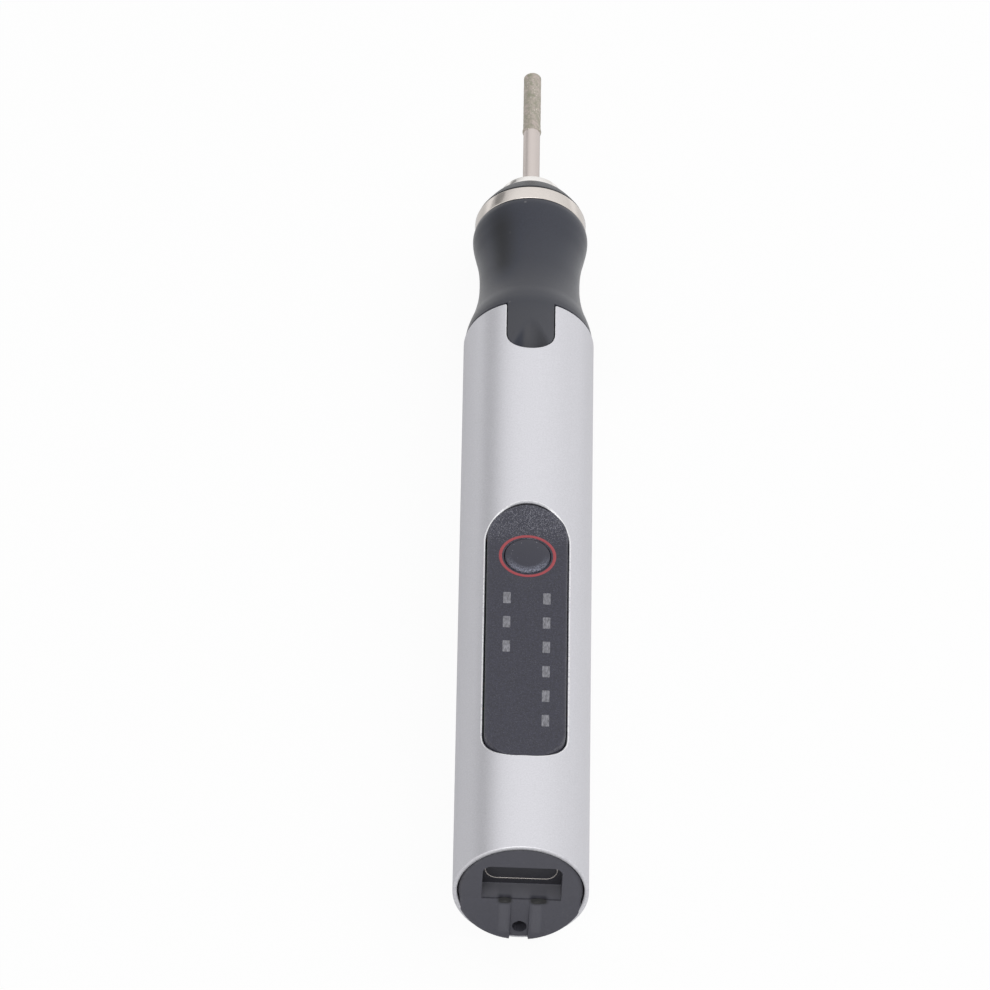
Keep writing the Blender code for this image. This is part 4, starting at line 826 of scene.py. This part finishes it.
def finish(name, colour, metallic=0.0, roughness=0.5, grain=0.2 * MM, tone=0.08, depth=0.01 * MM, uneven=0.06,
           flecks=None, crowd=None, wear=None, light_shade_and_tone_ends=None, streaks=None, plain=None):
    """A finish: grain shifts tone, roughness and height. Flecks are (size, share, colour, height), and
    crowd is (from station, to station, share, faintness) for flecks that come closer and grow brighter
    along the pen. Wear and highlight is (size, amount, colour) for marks of wear, which on some pieces are
    a painted highlight; the tone ends are the (dark, light) ends of the piece's tone marks, which are
    painted shade and light on most pieces and random tone on the bur; streaks stretch the grain by a share
    along x, y and z, and plain holds more of the shader's inputs that are the same all over."""
    made = bpy.data.materials.new(name)
    made.use_nodes = True
    tree = made.node_tree
    surface = tree.nodes["Principled BSDF"]
    position = stretched = add_node(tree, "ShaderNodeTexCoord").outputs["Object"]
    if streaks:
        stretched = add_node(tree, "ShaderNodeMapping", {"Vector": position, "Scale": streaks}).outputs[0]
    value = height = shared(tree, "Grain", {"Position": stretched, "Size": grain})
    base = blended(tree, value, shade(colour, 1 - tone), shade(colour, 1 + tone))
    if flecks:
        size, share, fleck_colour, rise = flecks
        if crowd:
            start, end, most, faint = crowd
            along = add_node(tree, "ShaderNodeSeparateXYZ", {0: position}).outputs["Y"]
            share, faint = (mapped(tree, along, start + REAR, end + REAR, first, last)
                            for first, last in ((share, most), (faint, 1.0)))
        mask = shared(tree, "Flecks", {"Position": position, "Size": size, "Share": share})
        if crowd:
            mask = worked(tree, "MULTIPLY", mask, faint)
        base = blended(tree, mask, base, shade(fleck_colour))
        height = worked(tree, "MULTIPLY_ADD", mask, rise, value)
    # marks of wear, which on the tube and the button are a painted highlight
    if wear:
        marks = add_node(tree, "ShaderNodeAttribute", attribute_name="wear").outputs["Fac"]
        size, amount, wear_colour = wear
        mask = shared(tree, "Wear and highlight", {"Marks": marks, "Position": position, "Size": size, "Amount": amount})
        base = blended(tree, mask, base, shade(wear_colour))
    # tone marks: painted shade towards the dark end and painted light towards the light end on most pieces
    if light_shade_and_tone_ends:
        marks = add_node(tree, "ShaderNodeAttribute", attribute_name="tone").outputs["Fac"]
        dark, light = map(shade, light_shade_and_tone_ends)
        base = shared(tree, "Tone and painted light", {"Marks": marks, "Color": base, "Dark": dark, "Light": light})
    tree.links.new(base, surface.inputs["Base Color"])
    rough = mapped(tree, value, start=max(0.0, roughness - uneven), end=min(1.0, roughness + uneven))
    tree.links.new(rough, surface.inputs["Roughness"])
    bump = add_node(tree, "ShaderNodeBump", {"Strength": 0.6, "Distance": depth, "Height": height})
    tree.links.new(bump.outputs[0], surface.inputs["Normal"])
    surface.inputs["Metallic"].default_value = metallic
    for label, amount in (plain or {}).items():
        surface.inputs[label].default_value = amount
    return made


# ---------------------------------------------------------------- operators

class BuildTube(bpy.types.Operator):
    """Aluminium tube with its window, notch and rounded edges"""
    bl_idname = "pen.tube"
    bl_label = "Body tube"

    def execute(self, context):
        sizes, colours = context.scene.pen_sizes, context.scene.pen_colours
        # The near white wear colour is a painted highlight on the edges as well as wear, and the dark tone
        # end a painted shade
        metal = finish("Satin aluminium", colours.tube, metallic=1.0, roughness=0.40, grain=0.20 * MM,
                       tone=0.06, depth=0.004 * MM, uneven=0.04, wear=(0.5 * MM, 4.0, (0.96, 0.96, 0.98)),
                       light_shade_and_tone_ends=((0.33, 0.33, 0.35), colours.tube))

        def round_normals(places):
            """Straight away from the axis on the tube's outer surface, and left to Blender elsewhere."""
            reach = np.hypot(places[:, 0], places[:, 2])
            way = places * (1, 0, 1) / np.maximum(reach, TINY)[:, None]
            return way * (np.abs(reach - sizes.tube_radius) < WELD)[:, None]

        add_piece("tube_shell", [tube_shell(sizes)], metal, "pen_body", ["body_tube"],
                  normals=round_normals)
        return {"FINISHED"}


class BuildCap(bpy.types.Operator):
    """Rear cap with its pocket, pads, groove and hole"""
    bl_idname = "pen.rear_cap"
    bl_label = "Rear cap"

    def execute(self, context):
        # Its tone marks paint shade towards near black and light towards a paler grey
        plastic = finish("Moulded cap", context.scene.pen_colours.cap, roughness=0.55, grain=0.35 * MM,
                         tone=0.10, depth=0.006 * MM, uneven=0.08,
                         flecks=(0.22 * MM, 0.05, (0.10, 0.10, 0.11), 0.5),
                         wear=(0.45 * MM, 0.5, (0.16, 0.16, 0.17)),
                         light_shade_and_tone_ends=((0.005, 0.005, 0.006), (0.20, 0.20, 0.225)))
        add_piece("cap_relief", [cap_shell()], plastic, "pen_body", ["rear_cap"], angle=28)
        return {"FINISHED"}


class BuildPort(bpy.types.Operator):
    """Charging port: drawn shell with a flared mouth, a black liner and back inside the shell as painted
    shade over its inside, and the tongue with its contacts
    """
    bl_idname = "pen.port"
    bl_label = "Charging port"

    def execute(self, context):
        (_, mouth, _), (_, rear, _) = corners("port_shell")
        half_x, half_z, height, wall = 4.8 * MM, 1.65 * MM, 1.1 * MM, 0.3 * MM
        flare, edge = mouth + 0.4 * MM, mouth - 0.02 * MM
        shell = rounded([(-wall, rear, 0), (0, rear, 0.05 * MM), (0, flare, 0), (0.10 * MM, edge, 0.08 * MM),
                         (-0.12 * MM, edge, 0.08 * MM), (-wall, flare, 0), (-wall, rear, 0)])[:-1]
        nickel = finish("Warm nickel", context.scene.pen_colours.nickel, metallic=1.0, roughness=0.28,
                        grain=0.25 * MM, tone=0.06, depth=0.002 * MM, uneven=0.05)
        add_piece("port_shell_drawn", [stadium_shell(half_x, half_z, height, shell)], nickel, "pen_body",
                  ["port_shell"])

        # A black liner over the shell's inside, ending in a black back: painted shade; the tongue bar is the
        # insulator's own colour
        front, floor, shade_liner_inset = mouth + 0.45 * MM, rear - 0.5 * MM, 0.08 * MM
        back = np.array([(0.1 * MM - wall, front), (-wall - shade_liner_inset, front), (-wall - shade_liner_inset, floor),
                         (-half_z, floor), (-half_z, rear), (0.1 * MM - wall, rear)])
        low, high = corners("port_tongue")
        half_width, _, half_height = (high - low) / 2
        bar = np.array([(0, low[1] + 0.15 * MM), (-0.12 * MM, low[1]), (-half_height, low[1]),
                        (-half_height, high[1]), (0, high[1])])
        black = finish("Port insulator", (0.006, 0.006, 0.0065), roughness=0.55, grain=0.2 * MM)
        add_piece("port_tongue_bar", [stadium_shell(half_width, half_height, height, bar, sides=12),
                                      stadium_shell(half_x, half_z, height, back)],
                  black, "pen_body", ["port_tongue"])

        count, pitch = 12, 0.5 * MM
        pad, quads = bar_shell(0, 0, 0.14 * MM, 1.6 * MM, 0, 0.02 * MM, 0.05 * MM)
        contacts = []
        for number in range(count):
            upper = pad + ((number - (count - 1) / 2) * pitch, low[1] + 2.3 * MM, high[2] - 0.005 * MM)
            contacts += [(upper, quads), (upper * (1, 1, -1) + (0, 0, 2 * height), quads)]
        gold = finish("Contact plate", context.scene.pen_colours.brass, metallic=1.0, roughness=0.3,
                      grain=0.1 * MM, depth=0.001 * MM)
        add_piece("port_contacts", contacts, gold, "pen_body")
        return {"FINISHED"}


class BuildPanel(bpy.types.Operator):
    """Flat textured panel in the window"""
    bl_idname = "pen.panel"
    bl_label = "Control panel"

    def execute(self, context):
        sizes, colours = context.scene.pen_sizes, context.scene.pen_colours
        plastic = finish("Flecked panel", colours.panel, roughness=0.48, grain=0.24 * MM, tone=0.40,
                         depth=0.012 * MM, uneven=0.10, flecks=(0.14 * MM, 0.6, colours.fleck, 1.5),
                         crowd=(54.5 * MM, 58.0 * MM, 1.0, 0.16), wear=(0.25 * MM, 0.14, (0.35, 0.35, 0.38)))
        add_piece("panel_plate", [panel_shell(sizes)], plastic, "pen_body", ["control_panel"],
                  angle=30)
        return {"FINISHED"}


class BuildPrint(bpy.types.Operator):
    """Printed ring round the button and nine plain printed marks, one above each indicator lamp"""
    bl_idname = "pen.print"
    bl_label = "Printed ring and marks"

    def execute(self, context):
        sizes, colours = context.scene.pen_sizes, context.scene.pen_colours
        top, rise = sizes.panel_top, 0.02 * MM
        inner, outer = sizes.ring_radius - sizes.ring_line / 2, sizes.ring_radius + sizes.ring_line / 2
        line = np.array([(inner, top - rise), (inner, top + rise / 2), (inner + rise, top + rise),
                         (outer - rise, top + rise), (outer, top + rise / 2), (outer, top - rise)])
        red = finish("Red ink", colours.ring, roughness=0.45, grain=0.12 * MM, tone=0.10, depth=0.003 * MM)
        centre = corners("power_button").mean(axis=0)[1]
        add_piece("printed_ring", [raised(line, centre, 128, hollow=True)], red, "pen_body")
        pale = finish("Pale ink", colours.mark, roughness=0.5, grain=0.22 * MM, tone=0.55, depth=0.003 * MM,
                      streaks=(1.0, 0.3, 1.0))
        lamps = sorted(node for node in frame["nodes"] if node.startswith("indicator_lamp"))
        if len(lamps) != 9:
            raise RuntimeError("nine indicator lamps are expected under the marks")
        bars = [bar_shell(*corners(node).mean(axis=0)[:2], sizes.mark_width / 2, sizes.mark_length / 2,
                          top - rise, top + rise, 0.12 * MM) for node in lamps]
        add_piece("printed_marks", bars, pale, "pen_body")
        return {"FINISHED"}


class BuildButton(bpy.types.Operator):
    """Round power button with a low crown, and a painted glint on the rear side of its edge"""
    bl_idname = "pen.button"
    bl_label = "Power button"

    def execute(self, context):
        colours, r = context.scene.pen_colours, context.scene.pen_sizes.button_radius
        (_, rear, foot), (_, front, crown) = corners("power_button")
        centre, flange, thick = (rear + front) / 2, r + 0.8 * MM, foot + 0.45 * MM
        dome_r, dome_drop = r - 0.75 * MM, 0.13 * MM
        u = np.linspace(0, 1, 14)[1:]
        edge = rounded([(r, crown - 0.9 * MM, 0), (r, crown - 0.30 * MM, 0.30 * MM),
                        (dome_r, crown - dome_drop, 0)], 9)
        line = np.concatenate([[(0, foot), (flange, foot), (flange, thick), (r, thick)], edge,
                               joined(dome_r * (1 - u), crown - dome_drop * (1 - u) ** 2)])
        points, quads = raised(line, centre, 96)
        reach = line[:, :1]
        # painted glint on the button's edge, only on the side towards the rear
        toward = np.clip((centre - points[..., 1]) / np.maximum(reach, TINY), 0, 1)
        worn_and_glint = ramp(reach, r - 0.95 * MM, r - 0.45 * MM) * (reach < r + 0.001 * MM) * toward
        plastic = finish("Button plastic", colours.panel, roughness=0.42, grain=0.14 * MM, tone=0.15,
                         depth=0.015 * MM, uneven=0.1, flecks=(0.17 * MM, 0.01, colours.fleck, 1.6),
                         wear=(0.16 * MM, 0.9, (0.36, 0.38, 0.48)))
        add_piece("button_crown", [(points, quads, {"wear": worn_and_glint})], plastic, "button",
                  ["power_button"])
        return {"FINISHED"}


class BuildGrip(bpy.types.Operator):
    """Soft grip with its waist and bulge, the tongue in the tube's notch and the work light's scoop"""
    bl_idname = "pen.grip"
    bl_label = "Front grip"

    def execute(self, context):
        sizes, colours = context.scene.pen_sizes, context.scene.pen_colours
        # Its tone marks paint shade towards near black and light towards a paler blue grey
        rubber = finish("Soft-touch grip", colours.grip, roughness=0.43, grain=0.24 * MM, tone=0.17,
                        depth=0.006 * MM, uneven=0.06, flecks=(0.5 * MM, 0.002, (0.14, 0.14, 0.15), 0.3),
                        light_shade_and_tone_ends=((0.006, 0.007, 0.011), (0.055, 0.056, 0.066)),
                        plain={"Sheen Weight": 0.42, "Sheen Roughness": 0.32})
        points, quads = turned(grip_profile(), 144, hollow=True)
        # painted light and shade along and round the grip
        tone = grip_painted_light_and_shade(points[..., 1], np.arctan2(points[..., 0], points[..., 2]))
        add_piece("grip_body", [(points, quads, {"tone": tone}), tongue_shell(sizes)], rubber, "pen_body",
                  ["front_grip"], angle=30)
        return {"FINISHED"}


class BuildLight(bpy.types.Operator):
    """Clear dome of the work light in the scoop's rear wall"""
    bl_idname = "pen.work_light"
    bl_label = "Work light"

    def execute(self, context):
        (_, rear, under), (_, front, top) = corners("work_light")
        r, dome = 0.75 * MM, 0.7 * MM
        line = np.concatenate([[(rear, 0), (rear, r)],
                               (front - dome, 0) + ways(np.linspace(0, 90, 14)) * (dome, r)])
        line[-1, 1] = 0.0
        points, quads = turned(line, 48)
        clear = finish("Clear dome", (0.93, 0.95, 0.97), roughness=0.08, grain=0.5 * MM, tone=0.02, depth=0.0,
                       uneven=0.02, plain={"Transmission Weight": 0.75, "IOR": 1.5})
        points = points + (0, 0, (under + top) / 2)
        add_piece("light_dome", [(points, quads)], clear, "pen_body", ["work_light"])
        return {"FINISHED"}


class BuildNose(bpy.types.Operator):
    """Nose that turns: nickel ring, satin cone and nickel tip"""
    bl_idname = "pen.nose"
    bl_label = "Nose"

    def execute(self, context):
        colours = context.scene.pen_colours
        (rear, ring_front), (cone_rear, cone_front), (tip_rear, face) = (
            corners(node)[:, 1] for node in ("nose_ring", "nose_cone", "nose_tip"))

        bore, outer = 6.0 * MM, 7.75 * MM
        ring = rounded([(rear, bore, 0), (rear, outer, 0.14 * MM), (ring_front, outer, 0.18 * MM),
                        (ring_front, bore, 0)], 6)
        plate = finish("Bright nickel", colours.nickel, metallic=1.0, roughness=0.16, grain=0.6 * MM,
                       tone=0.03, depth=0.001 * MM, uneven=0.03, streaks=(1.0, 6.0, 1.0))
        add_piece("nose_ring_band", [turned(ring, 160, hollow=True)], plate, "chuck_collar",
                  ["nose_ring"])

        start = ring_front + 0.3 * MM
        inner, sleeve, mouth = 4.3 * MM, 5.15 * MM, 4.1 * MM
        s = np.linspace(start, cone_front, 24)
        slope = joined(s, through(s, [(start, 7.60 * MM), (start + 1.15 * MM, 6.93 * MM),
                                      (start + 2.95 * MM, 5.68 * MM), (cone_front, 4.64 * MM)]))
        slope[0] += (0, -0.08 * MM)
        cone = np.concatenate([[(cone_rear, inner), (cone_rear, sleeve), (start, sleeve)], slope,
                               [(cone_front, mouth), (start, mouth), (start, inner)]])
        satin = finish("Satin cone", colours.cone, roughness=0.42, grain=0.16 * MM, tone=0.08,
                       depth=0.005 * MM, uneven=0.06)
        add_piece("nose_cone_cover", [turned(cone, 144, hollow=True)], satin, "chuck_collar",
                  ["nose_cone"])

        rear, rest = cone_front + 0.14 * MM, face - 0.5 * MM
        hollow, bush, hole = 2.9 * MM, 3.7 * MM, 1.6 * MM
        tip = rounded([(tip_rear, hollow, 0), (tip_rear, bush, 0), (rear, bush, 0),
                       (rear, 4.48 * MM, 0.24 * MM), (face - 0.25 * MM, 4.40 * MM, 0.1 * MM),
                       (face, 4.15 * MM, 0.1 * MM), (face, hole, 0.15 * MM), (rest, hole, 0),
                       (rest, hollow, 0)], 6)
        # A copy of the nickel made brighter than the ring's, as painted reflection, so that the tip shows
        # near white
        bright_tip_nickel = finish("Tip nickel with painted reflection", (0.89, 0.865, 0.84), metallic=1.0, roughness=0.12, grain=0.6 * MM,
                        tone=0.02, depth=0.001 * MM, uneven=0.03)
        add_piece("nose_tip_bush", [turned(tip, 144, hollow=True)], bright_tip_nickel, "chuck_collar",
                  ["nose_tip"])
        return {"FINISHED"}


class BuildBur(bpy.types.Operator):
    """Bur: ground shank and a head of diamond grit"""
    bl_idname = "pen.bur"
    bl_label = "Bur"

    def execute(self, context):
        colours = context.scene.pen_colours
        shank, head = bur_shells(context.scene.pen_sizes)
        steel = finish("Ground steel", colours.steel, metallic=1.0, roughness=0.42, grain=0.5 * MM, tone=0.05,
                       depth=0.002 * MM, uneven=0.06, streaks=(1.0, 9.0, 1.0))
        grit = finish("Diamond grit", colours.grit, metallic=0.3, roughness=0.55, grain=0.24 * MM, tone=0.30,
                      depth=0.03 * MM, uneven=0.15, flecks=(0.26 * MM, 0.30, (0.85, 0.80, 0.74), 1.0),
                      light_shade_and_tone_ends=((0.34, 0.335, 0.255), (0.58, 0.50, 0.46)))
        add_piece("bur_shank", [shank], steel, "bit", ["diamond_bur"])
        add_piece("bur_head", [head], grit, "bit", angle=60)
        return {"FINISHED"}


METAL = dict(metallic=1.0, grain=0.5 * MM, depth=0.002 * MM)
INNER = {
    "circuit_board": dict(colour=(0.02, 0.12, 0.05), roughness=0.35, grain=0.8 * MM, tone=0.2,
                          flecks=(0.9 * MM, 0.16, (0.6, 0.45, 0.2), 0.5)),
    "black_insulator": dict(colour=(0.05, 0.05, 0.055), roughness=0.5, grain=0.3 * MM, tone=0.1),
    "lamp": dict(colour=(0.8, 0.8, 0.76), roughness=0.35, grain=0.3 * MM, tone=0.04, depth=0.002 * MM),
    "cell_wrap": dict(colour=(0.03, 0.12, 0.36), roughness=0.3, grain=1.2 * MM, tone=0.07, depth=0.004 * MM),
    "foam_pad": dict(colour=(0.10, 0.10, 0.11), roughness=0.9, grain=0.3 * MM, tone=0.3, depth=0.08 * MM,
                     flecks=(0.35 * MM, 0.5, (0.02, 0.02, 0.02), -1.0)),
    "black_rubber": dict(colour=(0.025, 0.025, 0.027), roughness=0.7, grain=0.2 * MM, tone=0.12),
    "magnet": dict(colour=(0.12, 0.115, 0.11), metallic=0.6, roughness=0.5, grain=0.25 * MM, tone=0.15),
    "red_lead": dict(colour=(0.45, 0.02, 0.02), roughness=0.4, grain=0.3 * MM, tone=0.06),
    "black_lead": dict(colour=(0.02, 0.02, 0.022), roughness=0.4, grain=0.3 * MM, tone=0.1),
    "steel": dict(METAL, colour=(0.56, 0.53, 0.50), roughness=0.3, tone=0.06, streaks=(1.0, 8.0, 1.0)),
    "nickel": dict(METAL, colour=(0.72, 0.69, 0.66), roughness=0.25, tone=0.04, streaks=(1.0, 6.0, 1.0)),
    "brass": dict(METAL, colour=(0.75, 0.58, 0.30), roughness=0.3, tone=0.06, streaks=(1.0, 8.0, 1.0)),
}


class FinishInside(bpy.types.Operator):
    """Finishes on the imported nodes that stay: motor, bearings, cell, boards, leads and lamps"""
    bl_idname = "pen.inside"
    bl_label = "Inner pieces"

    def execute(self, context):
        slots = {part["node"]: part["material_slot"] for part in frame["record"]["subparts"]}
        made = {}
        for node, packed in frame["nodes"].items():
            slot = slots[node]
            if slot not in INNER:
                continue
            if slot not in made:
                made[slot] = finish("Inner " + slot.replace("_", " "), **INNER[slot])
            packed.data.materials.clear()
            packed.data.materials.append(made[slot])
        return {"FINISHED"}


FLOOR_GAP = 0.02 * MM           # between the floor and the tube
# What reflections see of the floor, as from and to a place and from and to a level: the share of it that
# glows, along the pen, and its tone, across the pen
FLOOR_GLOW, FLOOR_TONES = (0.075, 0.11, 0.15, 0.95), (-0.03, 0.03, 0.70, 0.88)
# The same of the surroundings' level, by the upward part of the way there, and where it is dimmed: the way
# there, the cosines between which the dimming grows, and the level that is left
SKY_LEVELS = (0.0, 0.72, 0.82, 1.0)
DIM_AREAS = (((-0.68, 0.69, -0.25), 0.56, 0.98, 0.63), ((-0.82, 0.38, 0.43), 0.91, 0.985, 0.80),
             ((-0.652, 0.722, 0.232), 0.9885, 0.992, 0.47))
PHOTO_SIDE, FOCAL_LENGTH = 990.0, 10022.0           # of the photograph, in pixels
SENSOR = 36.0                                       # in mm
CLIMB, LEAN, ROLL = 43.78, 1.01, 1.55               # of the pen's axis before the camera, in degrees
TUBE_REAR_SEEN = np.array([0.376, 5.795, 146.58]) * 9.0 * MM    # middle of that end, in the camera's places


class BuildStage(bpy.types.Operator):
    """White floor that keeps the shadow, even surroundings, two soft lamps and the camera"""
    bl_idname = "pen.stage"
    bl_label = "Studio"

    def execute(self, context):
        studio = context.scene.pen_studio
        half, level = studio.floor_size / 2, AXIS - context.scene.pen_sizes.tube_radius - FLOOR_GAP
        mesh = bpy.data.meshes.new("floor")
        mesh.from_pydata([(-half, -half, level), (half, -half, level), (half, half, level),
                          (-half, half, level)], [], [(0, 1, 2, 3)])
        mesh.materials.append(self.floor_finish(studio))
        floor = bpy.data.objects.new("floor", mesh)
        context.scene.collection.objects.link(floor)
        self.surround(context, studio)
        self.lamp(context, "soft_lamp", studio.lamp, (1.0, 0.7), (0.55, 0.15, 0.75)).visible_glossy = False
        self.lamp(context, "fill_lamp", studio.fill, (0.6, 0.6), (-0.1, -0.75, 0.75))
        self.camera(context)
        context.scene.view_settings.view_transform = "Standard"
        return {"FINISHED"}

    def floor_finish(self, studio):
        """White where the camera sees it, with some of the shadow kept. In reflections it grows brighter
        ahead of the pen and to its right."""
        white = bpy.data.materials.new("White floor")
        white.use_nodes = True
        tree = white.node_tree
        tree.nodes.clear()
        path = add_node(tree, "ShaderNodeLightPath").outputs
        seen = worked(tree, "MAXIMUM", path["Is Camera Ray"], path["Is Glossy Ray"])
        seen = worked(tree, "MAXIMUM", seen, path["Is Transmission Ray"])
        share = worked(tree, "MULTIPLY", seen, 1 - studio.shadow)
        place = add_node(tree, "ShaderNodeTexCoord").outputs["Object"]
        place = add_node(tree, "ShaderNodeSeparateXYZ", {0: place}).outputs
        share = mixed(tree, path["Is Glossy Ray"], share, mapped(tree, place["Y"], *FLOOR_GLOW))
        tone = mixed(tree, path["Is Glossy Ray"], studio.floor_tone, mapped(tree, place["X"], *FLOOR_TONES))
        matt = add_node(tree, "ShaderNodeBsdfDiffuse", {"Color": tone})
        glow = add_node(tree, "ShaderNodeEmission", {"Color": (1, 1, 1, 1), "Strength": 1.0})
        both = add_node(tree, "ShaderNodeMixShader", {0: share, 1: matt.outputs[0], 2: glow.outputs[0]})
        add_node(tree, "ShaderNodeOutputMaterial", {"Surface": both.outputs[0]})
        return white

    def surround(self, context, studio):
        """White where it is seen, even where it lights, and less bright low on the left in reflections."""
        world = bpy.data.worlds.new("Studio")
        context.scene.world = world
        world.use_nodes = True
        tree = world.node_tree
        tree.nodes.clear()
        path = add_node(tree, "ShaderNodeLightPath").outputs
        way = add_node(tree, "ShaderNodeTexCoord").outputs["Generated"]
        up = add_node(tree, "ShaderNodeSeparateXYZ", {0: way}).outputs["Z"]
        glossy = mapped(tree, up, *SKY_LEVELS)
        for toward, low, high, least in DIM_AREAS:
            near = add_node(tree, "ShaderNodeVectorMath", {0: way, 1: toward}, operation="DOT_PRODUCT")
            dimmed = mapped(tree, near.outputs["Value"], low, high, 1.0, least, "SMOOTHSTEP")
            glossy = worked(tree, "MULTIPLY", glossy, dimmed)
        shown = mixed(tree, path["Is Glossy Ray"], studio.surround, glossy)
        clear = worked(tree, "MAXIMUM", path["Is Camera Ray"], path["Is Transmission Ray"])
        level = mixed(tree, clear, shown, 1.0)
        back = add_node(tree, "ShaderNodeBackground", {"Color": (1, 1, 1, 1), "Strength": level})
        add_node(tree, "ShaderNodeOutputWorld", {"Surface": back.outputs[0]})

    def lamp(self, context, name, power, size, place):
        """A soft lamp of a given size at a place, turned to the pen."""
        data = bpy.data.lights.new(name, "AREA")
        data.shape, data.energy = "RECTANGLE", power
        data.size, data.size_y = size
        lamp = bpy.data.objects.new(name, data)
        place = Vector(place)
        lamp.matrix_world = Matrix.Translation(place) @ place.to_track_quat("Z", "Y").to_matrix().to_4x4()
        context.scene.collection.objects.link(lamp)
        return lamp

    def camera(self, context):
        """The photograph's view: the pen's axis climbs away from a long lens, and is rolled a little."""
        climb, lean, roll = np.radians((CLIMB, LEAN, ROLL))
        along = np.array([np.sin(lean) * np.cos(climb), -np.cos(lean) * np.cos(climb), np.sin(climb)])
        side = np.cross(along, (0, 0, 1.0))
        side *= np.sign(side[0]) / np.linalg.norm(side)
        up = np.cross(side, along)
        up *= -np.sign(up[2])
        # rows: the frame's x, y and z in the camera's places, which are right, down and ahead
        turn = np.stack([np.cos(roll) * side - np.sin(roll) * up, along,
                         np.cos(roll) * up + np.sin(roll) * side])
        if abs(np.linalg.det(turn) - 1) > 1e-6:
            raise RuntimeError("the camera's axes are not square")
        matrix = np.eye(4)
        matrix[:3, :3] = turn * (1, -1, -1)
        matrix[:3, 3] = (0.0, REAR, AXIS) - turn @ TUBE_REAR_SEEN
        data = bpy.data.cameras.new("camera")
        data.sensor_width, data.lens = SENSOR, FOCAL_LENGTH / PHOTO_SIDE * SENSOR
        data.clip_start, data.clip_end = 0.01, 50.0
        camera = bpy.data.objects.new("camera", data)
        camera.matrix_world = Matrix(matrix.tolist())
        context.scene.collection.objects.link(camera)
        context.scene.camera = camera


class PenPanel(bpy.types.Panel):
    """Lists the pen's pieces and its sizes, colours and studio"""
    bl_label = "Engraving pen"
    bl_idname = "VIEW3D_PT_engraving_pen"
    bl_space_type = "VIEW_3D"
    bl_region_type = "UI"
    bl_category = "Pen"

    def draw(self, context):
        for step in STEPS:
            self.layout.operator(step.bl_idname)
        for group in (context.scene.pen_sizes, context.scene.pen_colours, context.scene.pen_studio):
            box = self.layout.box()
            for name in group.__annotations__:
                box.prop(group, name)


STEPS = (BuildTube, BuildCap, BuildPort, BuildPanel, BuildPrint, BuildButton, BuildGrip, BuildLight,
         BuildNose, BuildBur, FinishInside, BuildStage)
GROUPS = (("pen_sizes", PenSizes), ("pen_colours", PenColours), ("pen_studio", StudioSettings))


def register():
    for name, group in GROUPS:
        bpy.utils.register_class(group)
        setattr(bpy.types.Scene, name, bpy.props.PointerProperty(type=group))
    for made in STEPS + (PenPanel,):
        bpy.utils.register_class(made)


def unregister():
    for made in (PenPanel,) + STEPS[::-1]:
        bpy.utils.unregister_class(made)
    for name, group in GROUPS[::-1]:
        delattr(bpy.types.Scene, name)
        bpy.utils.unregister_class(group)


def main():
    """Registers the classes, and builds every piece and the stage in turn."""
    register()
    for step in STEPS:
        area, name = step.bl_idname.split(".")
        getattr(getattr(bpy.ops, area), name)()
    bpy.context.view_layer.update()


if __name__ == "__main__":
    main()
